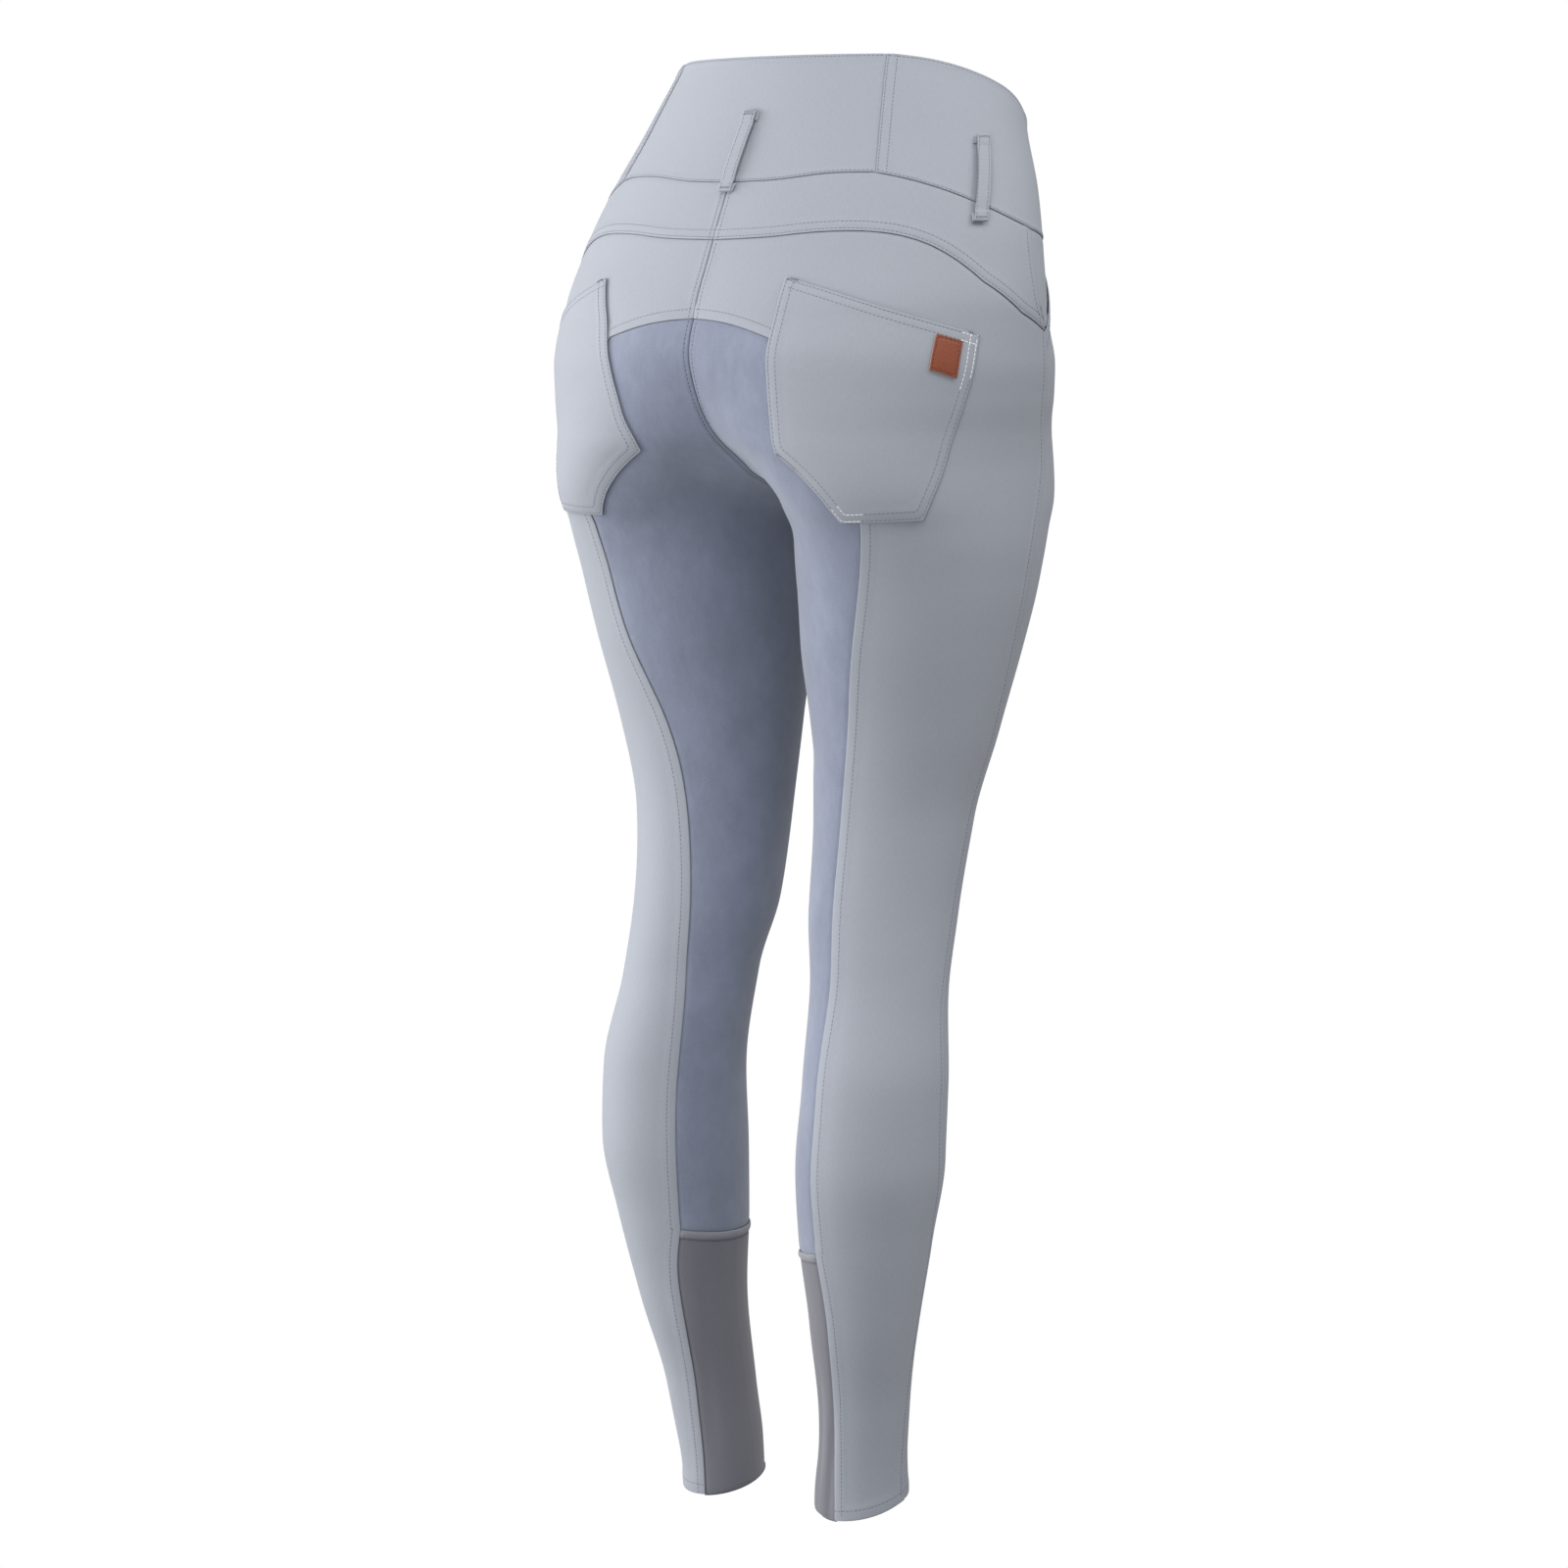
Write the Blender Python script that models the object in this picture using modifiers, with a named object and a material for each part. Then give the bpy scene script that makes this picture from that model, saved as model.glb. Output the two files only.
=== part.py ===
"""Riding breeches with a high waistband, back yoke, suede full seat and stretch calf panels.

Metres, +Z up. The front faces -Y and the wearer's left is +X. The origin is the middle of the
waist opening, level with its back edge, so every height below it is negative.

The garment is filled out. Its form is a stack of level sections, one ellipse for each leg. Above
the crotch the sections are cut at the middle plane, which gives the centre seams and the curve
of the rise. Near the crotch the cloth bridges the hollow between the legs: from a share of the
half width on, the section leaves the ellipse along its tangent. A place on a leg is a turn
round its section, in degrees (0 the outer side, 90 the back, 180 the inner leg, -90 the front),
and a height.
"""
import math

import bmesh
import bpy
from mathutils import Vector

# ---------------------------------------------------------------- driving sizes
WALL = 0.0010             # cloth of the panels
SEAM_GAP = 0.0003         # between two pieces at a seam
PATCH_LIFT = 0.0010       # between a panel and what is sewn on it
PATCH_WALL = 0.0010       # pockets, fly and label
STRAP_WALL = 0.0016       # belt loops are folded double
STRAP_WIDTH = 0.010
STRAP_BOW = 0.0042        # clear space behind a belt loop at its middle
STRAP_SEWN = 0.12         # share of its length that is sewn down at each end
STRAP_OFF = 0.25          # share of its length where it stands off fully
BUTTON_RADIUS = 0.0085
BUTTON_THICKNESS = 0.0025
BUTTON_FROM_FRONT = 0.014   # from the front edge of the band
BUTTON_EDGE = 0.0006        # rounding of its rim
BUTTON_FACES = 20           # round its rim
BUTTON_SHARES = {"button_upper": 0.27, "button_lower": 0.73}   # of the way down the band's front
YOKE_CORNER_TURN = 70.0   # on the yoke's lower seam, above the outer corner of the suede
MOUTH_TOP_TURN = -40.0    # upper end of the slanted front pocket's mouth
CROTCH = -0.287
CALF_TOP = -0.772         # seam between the suede and the calf panel, at its two ends
CALF_DROOP = 0.004        # how far it sags at the inner leg
HEM_SIDE = -0.950
HEM_SLOPE = 0.008         # the hem is lower behind and higher in front
FLY_WIDTH = 0.034
FLY_END = -0.215
FLY_INSET = 0.001         # from the middle plane and from the band's seam
FLY_CURVE_START = 0.7     # share of its length where its lower end begins to round in
FLY_CURVE = 0.36          # length of the rounding, as the same share

# Number of faces along each stretch.
BAND_ROWS = 3
BACK_FACES = 7            # from the centre back to the band's upright seam
SIDE_FACES = 4            # from there to the side seam
MOUTH_FACES = 3           # from the side seam to the upper end of the front pocket's mouth
FRONT_FACES = 7           # from there to the centre front
YOKE_ROWS = 3
SEAT_BACK_FACES = 5       # from the centre back or inner leg to the suede's outer seam
SEAT_FRONT_FACES = 3
OUTER_FACES = 6           # from the suede to the side seam
RISE_ROWS = 4             # from the yoke to the suede's upper arc
# Stations are closer together towards the end of a run where this is above 0.
BAND_SIDE_EASE = 0.4
YOKE_SIDE_EASE = -0.25
HIP_EASE = 1.25           # above 1, rows are closer together towards the crotch
LEG_EASE = 0.2            # above 0, rows are closer together just below the crotch
HIP_ROWS = 6              # from the suede's upper arc to the crotch
LEG_ROWS = 18             # from the crotch to the calf seam
CALF_ROWS = 7

# ---------------------------------------------------------------- sections and seams
# outer: middle plane to the outer side. inner: middle plane to the inner side, negative where
# the section crosses the plane. back: how far behind the origin the side line lies.
# back_depth and front_depth: from the side line to the back and to the front.
SECTION_COLUMNS = ("height", "outer", "inner", "back", "back_depth", "front_depth")
SECTIONS = (
    (0.000, 0.123, -0.123, 0.000, 0.090, 0.090),
    (-0.045, 0.140, -0.132, 0.019, 0.093, 0.090),
    (-0.085, 0.157, -0.141, 0.032, 0.102, 0.096),
    (-0.125, 0.169, -0.139, 0.044, 0.109, 0.100),
    (-0.165, 0.175, -0.125, 0.051, 0.120, 0.108),
    (-0.195, 0.175, -0.100, 0.051, 0.129, 0.115),
    (-0.220, 0.172, -0.069, 0.050, 0.128, 0.115),
    (-0.245, 0.1675, -0.035, 0.048, 0.127, 0.114),
    (-0.265, 0.166, -0.002, 0.047, 0.1225, 0.111),
    (CROTCH, 0.166, 0.016, 0.047, 0.114, 0.106),
    (-0.305, 0.1657, 0.0185, 0.047, 0.103, 0.097),
    (-0.340, 0.1617, 0.0165, 0.046, 0.092, 0.087),
    (-0.380, 0.1532, 0.0165, 0.047, 0.082, 0.079),
    (-0.435, 0.1395, 0.0205, 0.048, 0.067, 0.065),
    (-0.495, 0.1245, 0.0235, 0.053, 0.057, 0.056),
    (-0.555, 0.120, 0.026, 0.063, 0.053, 0.053),
    (-0.605, 0.122, 0.034, 0.074, 0.049, 0.047),
    (-0.665, 0.129, 0.037, 0.084, 0.054, 0.048),
    (-0.715, 0.128, 0.034, 0.086, 0.056, 0.049),
    (-0.765, 0.119, 0.033, 0.084, 0.050, 0.043),
    (-0.825, 0.106, 0.036, 0.080, 0.040, 0.036),
    (-0.885, 0.093, 0.035, 0.071, 0.033, 0.032),
    (-0.945, 0.086, 0.030, 0.066, 0.031, 0.032),
    (-0.985, 0.085, 0.029, 0.065, 0.031, 0.032),
)

# Share of the half width beyond which the cloth bridges the hollow between the legs. At the
# crotch the two tangents of a section meet on the middle plane. Height, share.
BRIDGE = ((-0.205, 0.80), (-0.245, 0.62), (-0.265, 0.576), (-0.2755, 0.67), (CROTCH, 0.8242),
          (-0.294, 0.94), (-0.303, 0.995))

# Each leg is turned a little about its own length: the left one's seams lie further round by
# this many degrees, the right one's as much less. Height, degrees.
TWIST = (
    (-0.145, -4.5),
    (-0.180, -0.8),
    (-0.230, 3.5),
    (-0.265, 8.5),
    (-0.300, 6.8),
    (-0.370, 3.0),
    (-0.450, 8.0),
    (-0.510, 10.0),
    (-0.580, 13.5),
    (-0.650, 15.5),
    (-0.770, 14.5),
    (-0.800, 12.1),
    (-0.820, 13.5),
    (-0.910, 8.2),
)
BAND_TWIST = -4.4         # the same for the band's upright seams and the belt loops
BAND_SEAM_TURN = 47.4     # upright seams of the band, behind the hips

# Seams that run round the garment. Turn, height.
TOP_EDGE = ((95.0, 0.0), (50.0, 0.0), (30.0, -0.005), (13.0, -0.014), (-8.0, -0.027),
            (-20.0, -0.039), (-50.0, -0.050), (-95.0, -0.054))
BAND_SEAM = ((95.0, -0.082), (80.0, -0.081), (62.0, -0.0765), (50.0, -0.0765), (30.0, -0.089),
             (13.0, -0.102), (0.0, -0.110), (-20.0, -0.117), (-50.0, -0.124), (-95.0, -0.127))
YOKE_SEAM = ((97.0, -0.119), (80.0, -0.1175), (62.0, -0.1135), (48.0, -0.1145), (38.0, -0.1197),
             (29.5, -0.1278), (20.0, -0.1435), (12.0, -0.154), (4.5, -0.163), (-5.0, -0.1715),
             (-18.0, -0.1795))

# Seams that run down a leg. Height, turn.
SIDE_SEAM = ((-0.100, -8.5), (-0.148, -9.5), (-0.172, -15.5), (-0.195, -14.5), (-0.250, -12.0),
             (-0.320, -8.5), (-0.400, -13.0), (-0.470, -12.0), (-0.550, -8.0), (-0.650, 1.0),
             (-0.720, -2.0), (-0.800, -17.0), (-0.860, -12.6), (-0.960, -9.8))
SUEDE_SEAM = ((-0.181, 76.5), (-0.207, 73.0), (-0.250, 71.0), (-0.299, 78.5), (-0.370, 84.0),
              (-0.450, 98.0), (-0.510, 103.0), (-0.580, 108.0), (-0.650, 117.5), (-0.720, 116.0),
              (-0.770, 113.0), (-0.800, 106.0), (-0.872, 102.7), (-0.960, 96.5))
FRONT_TWIST_REACH = 0.1   # below the crotch, over which the front seam takes up the leg's twist
FRONT_SUEDE_SEAM = ((CROTCH, -180.0), (-0.330, -150.0), (-0.420, -128.0), (-0.560, -124.0),
                    (-0.700, -122.0), (-0.960, -112.0))
SUEDE_TOP = -0.169        # centre back, where the suede begins
SUEDE_ARC_BOW = 0.003     # how far the suede's upper arc rises above a straight line

# Belt loops: turn at the top, turn at the bottom, how far below the band's top edge they begin
# and how far below its seam they end.
SIDE_LOOP = (11.85, 15.85, 0.041, 0.012)
FRONT_LOOP = (-52.0, -52.0, 0.037, 0.008)
BACK_LOOP = (120.0, 120.0, 0.037, 0.007)    # held at the middle plane

# Back pocket, on the form before the leg's twist: corners from the inner top one, down the
# inner edge, along the bottom and up the outer edge. Turn, height.
POCKET_INNER_EDGE = ((68.5, -0.143), (75.5, -0.178), (82.5, -0.208), (90.5, -0.2345),
                     (100.0, -0.253))
POCKET_BOTTOM = ((100.0, -0.253), (87.0, -0.296), (51.0, -0.295))    # straight between these
POCKET_OUTER_EDGE = ((18.5, -0.179), (22.5, -0.204), (30.0, -0.235), (40.5, -0.265),
                     (51.0, -0.295))
POCKET_TOP = ((68.5, -0.143), (56.0, -0.153), (43.5, -0.163), (31.0, -0.1715), (18.5, -0.179))
FLY_ROWS = 6
FLY_FACES = 3
POCKET_FACES_ACROSS = 8
POCKET_FACES_DOWN = 8
MOUTH_END_SHARE = 0.94    # the facing stops this far down the mouth
LABEL_CORNERS = ((32.0, -0.1785), (24.6, -0.183), (28.4, -0.206), (36.0, -0.2005))
LABEL_FACES = 2

# name: colour, roughness
FINISHES = {
    "light_cloth": ((0.36, 0.38, 0.43), 0.85),
    "suede": ((0.19, 0.21, 0.27), 0.95),
    "stretch_cloth": ((0.15, 0.15, 0.17), 0.80),
    "leather": ((0.23, 0.07, 0.04), 0.60),
    "button": ((0.10, 0.10, 0.11), 0.35),
}

LEFT = 1
RIGHT = -1
SIDE_NAMES = {LEFT: "left", RIGHT: "right"}


# ---------------------------------------------------------------- reading the tables
def smooth_value(table, place, column=1):
    """Value of a column at a place in the first one, on a curve that doesn't overshoot."""
    rows = sorted(table)
    place = min(max(place, rows[0][0]), rows[-1][0])
    steps = [(b[column] - a[column]) / (b[0] - a[0]) for a, b in zip(rows, rows[1:])]
    index = max(i for i in range(len(steps)) if rows[i][0] <= place)

    def slope_at(i):
        if i == 0 or i == len(steps):
            return steps[min(i, len(steps) - 1)]
        before, after = steps[i - 1], steps[i]
        return 2 * before * after / (before + after) if before * after > 0 else 0.0

    start, end = rows[index], rows[index + 1]
    span = end[0] - start[0]
    t = (place - start[0]) / span
    rise = 3 * t ** 2 - 2 * t ** 3
    return (start[column] * (1 - rise) + end[column] * rise
            + span * (t ** 3 - 2 * t ** 2 + t) * slope_at(index)
            + span * (t ** 3 - t ** 2) * slope_at(index + 1))


def section(height):
    """Centre out, half width, centre back, back depth and front depth at a height."""
    outer, inner, back, back_depth, front_depth = (
        smooth_value(SECTIONS, height, i) for i in range(1, len(SECTION_COLUMNS)))
    return (outer + inner) / 2, (outer - inner) / 2, back, back_depth, front_depth


def bridge(height):
    """Share of the half width and turn at which the cloth leaves the ellipse, and how much
    further, as a share, its tangent runs to the level of the side line."""
    start = smooth_value(BRIDGE, height)
    return start, math.degrees(math.acos(-start)), 1 / start - start


def turn_for(reach, height):
    """Turn at which a section is this many half widths inwards from its middle."""
    start, start_turn, run = bridge(height)
    if reach <= start:
        return math.degrees(math.acos(-reach))
    return start_turn + min(1.0, (reach - start) / run) * (180.0 - start_turn)


def centre_turn(height):
    """Turn at which the section meets the middle plane, or 180 below the crotch."""
    out, half_width, *_ = section(height)
    return turn_for(out / half_width, height)


def form_point(side, turn, height):
    out, half_width, back, back_depth, front_depth = section(height)
    start, start_turn, run = bridge(height)
    turn = (turn + 180.0) % 360.0 - 180.0
    if abs(turn) <= start_turn:
        across, behind = math.cos(math.radians(turn)), math.sin(math.radians(turn))
    else:
        across = -(start + run * (abs(turn) - start_turn) / (180.0 - start_turn))
        behind = math.copysign((1 + start * across) / math.sqrt(1 - start ** 2), turn)
    depth = back_depth if behind > 0 else front_depth
    return Vector((side * (out + half_width * across), back + depth * behind, height))


def form_normal(side, turn, height):
    """Outward direction of the form, from two short steps on it."""
    step_turn, step_height = 0.5, 0.002
    along = form_point(side, turn + step_turn, height) - form_point(side, turn - step_turn, height)
    up = form_point(side, turn, height + step_height) - form_point(side, turn, height - step_height)
    return side * along.cross(up).normalized()


def normal_near(point):
    """Outward direction of the form beside a point that lies on it or close to it."""
    side = LEFT if point.x > 0 else RIGHT
    out, half_width, back, back_depth, front_depth = section(point.z)
    depth = back_depth if point.y > back else front_depth
    across, behind = (side * point.x - out) / half_width, (point.y - back) / depth
    start, start_turn, _ = bridge(point.z)
    turn = math.degrees(math.atan2(behind, across))
    if abs(turn) > start_turn:
        beyond = math.sqrt(1 - start ** 2) * abs(behind) - start * across
        turn = math.copysign(turn_for(-across / beyond, point.z), turn)
    return form_normal(side, turn, point.z)


def lifted(side, place, lift):
    turn, height = place
    return form_point(side, turn, height) + lift * form_normal(side, turn, height)


def twisted(side, turn, height):
    return turn + side * smooth_value(TWIST, height)


def seam_down(table, side, height):
    """Place on a seam that runs down the leg."""
    return twisted(side, smooth_value(table, height), height), height


def hem_height(turn):
    return HEM_SIDE - HEM_SLOPE * math.sin(math.radians(turn))


def blend(start, end, share):
    return tuple(a + (b - a) * share for a, b in zip(start, end))


def shares(count):
    return [i / count for i in range(count + 1)]


def along(points, share):
    """Place at a share of the way along a chain of places, measured by their number."""
    scaled = share * (len(points) - 1)
    index = min(int(scaled), len(points) - 2)
    return blend(points[index], points[index + 1], scaled - index)


def patch_places(top, bottom, first, last):
    """Rows of places that fill four edges: top and bottom run from first to last."""
    rows = []
    for i, (start, end) in enumerate(zip(first, last)):
        v = i / (len(first) - 1)
        row = []
        for j in range(len(top)):
            u = j / (len(top) - 1)
            across = blend(start, end, u)
            down = blend(top[j], bottom[j], v)
            corners = blend(blend(top[0], top[-1], u), blend(bottom[0], bottom[-1], u), v)
            row.append(tuple(a + d - c for a, d, c in zip(across, down, corners)))
        rows.append(row)
    return rows


# ---------------------------------------------------------------- making a piece
collection = None
finishes = {}


def start_scene():
    global collection
    for old in list(bpy.data.objects):
        bpy.data.objects.remove(old, do_unlink=True)
    collection = bpy.data.collections.new("riding_breeches")
    bpy.context.scene.collection.children.link(collection)
    for name, (colour, roughness) in FINISHES.items():
        material = bpy.data.materials.new(name)
        material.use_nodes = True
        shader = material.node_tree.nodes["Principled BSDF"]
        shader.inputs["Base Color"].default_value = (*colour, 1.0)
        shader.inputs["Roughness"].default_value = roughness
        finishes[name] = material


def add_object(name, bm, finish):
    mesh = bpy.data.meshes.new(name)
    bm.to_mesh(mesh)
    bm.free()
    mesh.materials.append(finishes[finish])
    mesh.shade_smooth()
    mesh.set_sharp_from_angle(angle=math.radians(40))
    piece = bpy.data.objects.new(name, mesh)
    collection.objects.link(piece)
    return piece


def add_sheet(bm, points):
    """A grid of faces laid on rows of points."""
    down, across = len(points) - 1, len(points[0]) - 1
    made = bmesh.ops.create_grid(bm, x_segments=across, y_segments=down, size=0.5)
    for vertex in made["verts"]:
        column = round((vertex.co.x + 0.5) * across)
        row = round((vertex.co.y + 0.5) * down)
        vertex.co = points[row][column]


def make_cloth(name, sheets, finish, wall=WALL):
    """Closed cloth piece from sheets of points that share their edges.

    The sheet is cut back by half the seam gap. Its wall is extruded inwards along the form's own
    normals, so that the edges of two neighbours stay parallel."""
    bm = bmesh.new()
    for points in sheets:
        add_sheet(bm, points)
    bmesh.ops.remove_doubles(bm, verts=bm.verts, dist=0.00001)
    rim = bmesh.ops.inset_region(bm, faces=bm.faces, use_boundary=True, use_even_offset=True,
                                 thickness=SEAM_GAP / 2)
    bmesh.ops.delete(bm, geom=rim["faces"], context="FACES")
    wall_side = bmesh.ops.extrude_face_region(bm, geom=list(bm.faces))
    for vertex in wall_side["geom"]:
        if isinstance(vertex, bmesh.types.BMVert):
            vertex.co -= wall * normal_near(vertex.co)
    bmesh.ops.recalc_face_normals(bm, faces=bm.faces)
    return add_object(name, bm, finish)


def make_panel(name, side, parts, finish, lift=0.0, wall=WALL):
    """Cloth piece from parts, each a list of rows of places on one side's form."""
    sheets = [[[lifted(side, place, lift) for place in row] for row in rows] for rows in parts]
    return make_cloth(name, sheets, finish, wall)


# ---------------------------------------------------------------- waistband
def band_rows(seam_places):
    """Rows of places from the top edge down to the band's seam, above the seam's own places."""
    rows = []
    for v in shares(BAND_ROWS):
        row = []
        for seam_turn, seam_height in seam_places:
            turn = seam_turn
            for _ in range(4):
                height = smooth_value(TOP_EDGE, turn) * (1 - v) + seam_height * v
                turn = seam_turn * centre_turn(height) / centre_turn(seam_height)
            row.append((turn, height))
        rows.append(row)
    return rows


def band_seam_places(side):
    """Places on the band's seam from the centre back to the centre front, in four stretches."""
    back, front = centre_place(BAND_SEAM), centre_place(BAND_SEAM, front=True)
    upright_turn = BAND_SEAM_TURN + side * BAND_TWIST
    upright = (upright_turn, smooth_value(BAND_SEAM, upright_turn))
    side_seam = side_place(BAND_SEAM, side)
    mouth = (MOUTH_TOP_TURN, smooth_value(BAND_SEAM, MOUTH_TOP_TURN))
    return (seam_round(BAND_SEAM, back, upright, BACK_FACES),
            seam_round(BAND_SEAM, upright, side_seam, SIDE_FACES, BAND_SIDE_EASE),
            seam_round(BAND_SEAM, side_seam, mouth, MOUTH_FACES),
            seam_round(BAND_SEAM, mouth, front, FRONT_FACES))


def make_waistband():
    back_sheets = []
    for side, word in SIDE_NAMES.items():
        back, upright, facing, front = band_seam_places(side)
        back_sheets.append([[lifted(side, place, 0.0) for place in row]
                            for row in band_rows(back)])
        rows = band_rows(upright + facing[1:] + front[1:])
        make_panel(f"waistband_{word}", side, [rows], "light_cloth")
    make_cloth("waistband_back", back_sheets, "light_cloth")


# ---------------------------------------------------------------- seam stations of one side
def centre_place(table, front=False):
    """Place where a seam round the garment meets the middle plane."""
    sign = -1 if front else 1
    height = smooth_value(table, sign * 90.0)
    for _ in range(4):
        height = smooth_value(table, sign * centre_turn(height))
    return sign * centre_turn(height), height


def side_place(table, side):
    """Place where a seam round the garment meets the side seam."""
    height = smooth_value(table, 0.0)
    for _ in range(12):
        height = smooth_value(table, seam_down(SIDE_SEAM, side, height)[0])
    return seam_down(SIDE_SEAM, side, height)


def seam_round(table, start, end, faces, ease=0.0):
    """Places along a seam round the garment, from one place on it to another."""
    places = [start]
    for u in shares(faces)[1:-1]:
        turn = start[0] + (end[0] - start[0]) * (u + ease * u * (1 - u))
        places.append((turn, smooth_value(table, turn)))
    return places + [end]


def leg_heights():
    """Heights of the rows below the crotch, closer together just below it."""
    leg = [CROTCH + (CALF_TOP - CROTCH) * ((1 - LEG_EASE) * u + LEG_EASE * u * u) for u in shares(LEG_ROWS)]
    calf = [CALF_TOP + (HEM_SIDE - CALF_TOP) * u for u in shares(CALF_ROWS)]
    return leg, calf


def hem_place(table, side):
    height = HEM_SIDE
    for _ in range(6):
        height = hem_height(seam_down(table, side, height)[0])
    return seam_down(table, side, height)


def calf_run(table, side):
    """Places down a seam from the calf seam to the hem."""
    end = hem_place(table, side)[1]
    return [seam_down(table, side, CALF_TOP + (end - CALF_TOP) * u) for u in shares(CALF_ROWS)]


def calf_seam(inner, outer, faces):
    """Places along the top of the calf panel, which sags towards the inner leg."""
    return [(inner[0] + (outer[0] - inner[0]) * u,
             outer[1] - CALF_DROOP * math.cos(math.radians(90.0 * u))) for u in shares(faces)]


def suede_arc(side):
    """Upper edge of the suede, from the centre back to its outer corner."""
    start = (centre_turn(SUEDE_TOP), SUEDE_TOP)
    end = seam_down(SUEDE_SEAM, side, max(SUEDE_SEAM)[0])
    places = []
    for u in shares(SEAT_BACK_FACES):
        turn, height = blend(start, end, u)
        places.append((turn, height + SUEDE_ARC_BOW * math.sin(math.pi * u)))
    return places


def hip_run(table_or_centre, side, start_height, front=False):
    """Places down to the crotch level, on a seam or, without one, on the middle plane."""
    places = []
    for u in shares(HIP_ROWS):
        height = start_height + (CROTCH - start_height) * (1 - (1 - u) ** HIP_EASE)
        if table_or_centre is None:
            places.append(((-1 if front else 1) * centre_turn(height), height))
        else:
            places.append(seam_down(table_or_centre, side, height))
    return places


def make_side(side):
    word = SIDE_NAMES[side]
    leg, _ = leg_heights()
    band_back, band_upright, band_facing, band_front = band_seam_places(side)
    yoke_back, yoke_side = centre_place(YOKE_SEAM), side_place(YOKE_SEAM, side)
    yoke_corner = (YOKE_CORNER_TURN, smooth_value(YOKE_SEAM, YOKE_CORNER_TURN))

    # Yoke, from the centre back to the side seam.
    yoke_top = band_back + band_upright[1:]
    yoke_bottom_back = seam_round(YOKE_SEAM, yoke_back, yoke_corner, SEAT_BACK_FACES)
    yoke_bottom_side = seam_round(YOKE_SEAM, yoke_corner, yoke_side, OUTER_FACES,
                                  YOKE_SIDE_EASE)
    centre = [blend(yoke_top[0], yoke_back, u) for u in shares(YOKE_ROWS)]
    centre = [(centre_turn(height), height) for _, height in centre]
    yoke_edge = [blend(yoke_top[-1], yoke_side, u) for u in shares(YOKE_ROWS)]
    yoke_edge = [seam_down(SIDE_SEAM, side, height) for _, height in yoke_edge]
    yoke_bottom = yoke_bottom_back + yoke_bottom_side[1:]
    make_panel(f"yoke_{word}", side, [patch_places(yoke_top, yoke_bottom, centre, yoke_edge)],
               "light_cloth")

    # Seat: a back strip down to the calf, and a front strip round the inner leg, which starts
    # as a point at the crotch.
    arc = suede_arc(side)
    suede_hip = hip_run(SUEDE_SEAM, side, arc[-1][1])
    centre_hip = hip_run(None, side, SUEDE_TOP)
    suede_leg = [seam_down(SUEDE_SEAM, side, height) for height in leg]
    inner_leg = [(180.0, height - CALF_DROOP * u) for height, u in zip(leg, shares(LEG_ROWS))]
    front_leg = [seam_down(FRONT_SUEDE_SEAM, 0, height) for height in leg]
    front_leg = [(turn + side * smooth_value(TWIST, height)
                  * min(1.0, (CROTCH - height) / FRONT_TWIST_REACH), height)
                 for turn, height in front_leg]
    seat_back = patch_places(arc, calf_seam(inner_leg[-1], suede_leg[-1], SEAT_BACK_FACES),
                             centre_hip + inner_leg[1:], suede_hip + suede_leg[1:])
    inner_front = [(turn - 360.0, height) for turn, height in inner_leg]
    seat_front = [[blend(start, end, u) for u in shares(SEAT_FRONT_FACES)]
                  for start, end in zip(inner_front, front_leg)]
    seat_front[-1] = calf_seam(inner_front[-1], front_leg[-1], SEAT_FRONT_FACES)
    make_panel(f"seat_{word}", side, [seat_back, seat_front], "suede")

    # Calf panel, with the same division round the leg.
    suede_calf = calf_run(SUEDE_SEAM, side)
    front_calf = calf_run(FRONT_SUEDE_SEAM, side)
    inner_end = hem_height(180.0)
    inner_start = inner_leg[-1][1]
    inner_calf = [(180.0, inner_start + (inner_end - inner_start) * u) for u in shares(CALF_ROWS)]
    calf_back = patch_places(seat_back[-1], hem_run(inner_calf[-1], suede_calf[-1],
                                                    SEAT_BACK_FACES), inner_calf, suede_calf)
    inner_calf_front = [(turn - 360.0, height) for turn, height in inner_calf]
    calf_front = patch_places(seat_front[-1], hem_run(inner_calf_front[-1], front_calf[-1],
                                                      SEAT_FRONT_FACES),
                              inner_calf_front, front_calf)
    make_panel(f"calf_{word}", side, [calf_back, calf_front], "stretch_cloth")

    # Outer back panel: a part above the suede's arc, and the rest down to the hem.
    centre_rise = [yoke_back[1] + (SUEDE_TOP - yoke_back[1]) * u for u in shares(RISE_ROWS)]
    centre_rise = [(centre_turn(height), height) for height in centre_rise]
    corner_rise = [blend(yoke_corner, arc[-1], u) for u in shares(RISE_ROWS)]
    rise = patch_places(yoke_bottom_back, arc, centre_rise, corner_rise)
    inner_edge = corner_rise + suede_hip[1:] + suede_leg[1:] + suede_calf[1:]
    side_hip = [seam_down(SIDE_SEAM, side, yoke_side[1] + (CROTCH - yoke_side[1]) * u)
                for u in shares(RISE_ROWS + HIP_ROWS)]
    side_leg = [seam_down(SIDE_SEAM, side, height) for height in leg]
    outer_edge = side_hip + side_leg[1:] + calf_run(SIDE_SEAM, side)[1:]
    outer = patch_places(yoke_bottom_side, hem_run(inner_edge[-1], outer_edge[-1], OUTER_FACES),
                         inner_edge, outer_edge)
    make_panel(f"back_{word}", side, [rise, outer], "light_cloth")

    # Slanted front pocket: the facing behind its mouth, then the front panel.
    mouth = [blend(band_front[0], yoke_side, u) for u in shares(YOKE_ROWS)]
    facing_mouth = mouth[:-1] + [blend(band_front[0], yoke_side, MOUTH_END_SHARE)]
    facing_bottom = [blend(yoke_side, facing_mouth[-1], u) for u in shares(MOUTH_FACES)]
    make_panel(f"hip_pocket_{word}", side,
               [patch_places(band_facing, facing_bottom, yoke_edge, facing_mouth)],
               "light_cloth")

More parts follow.
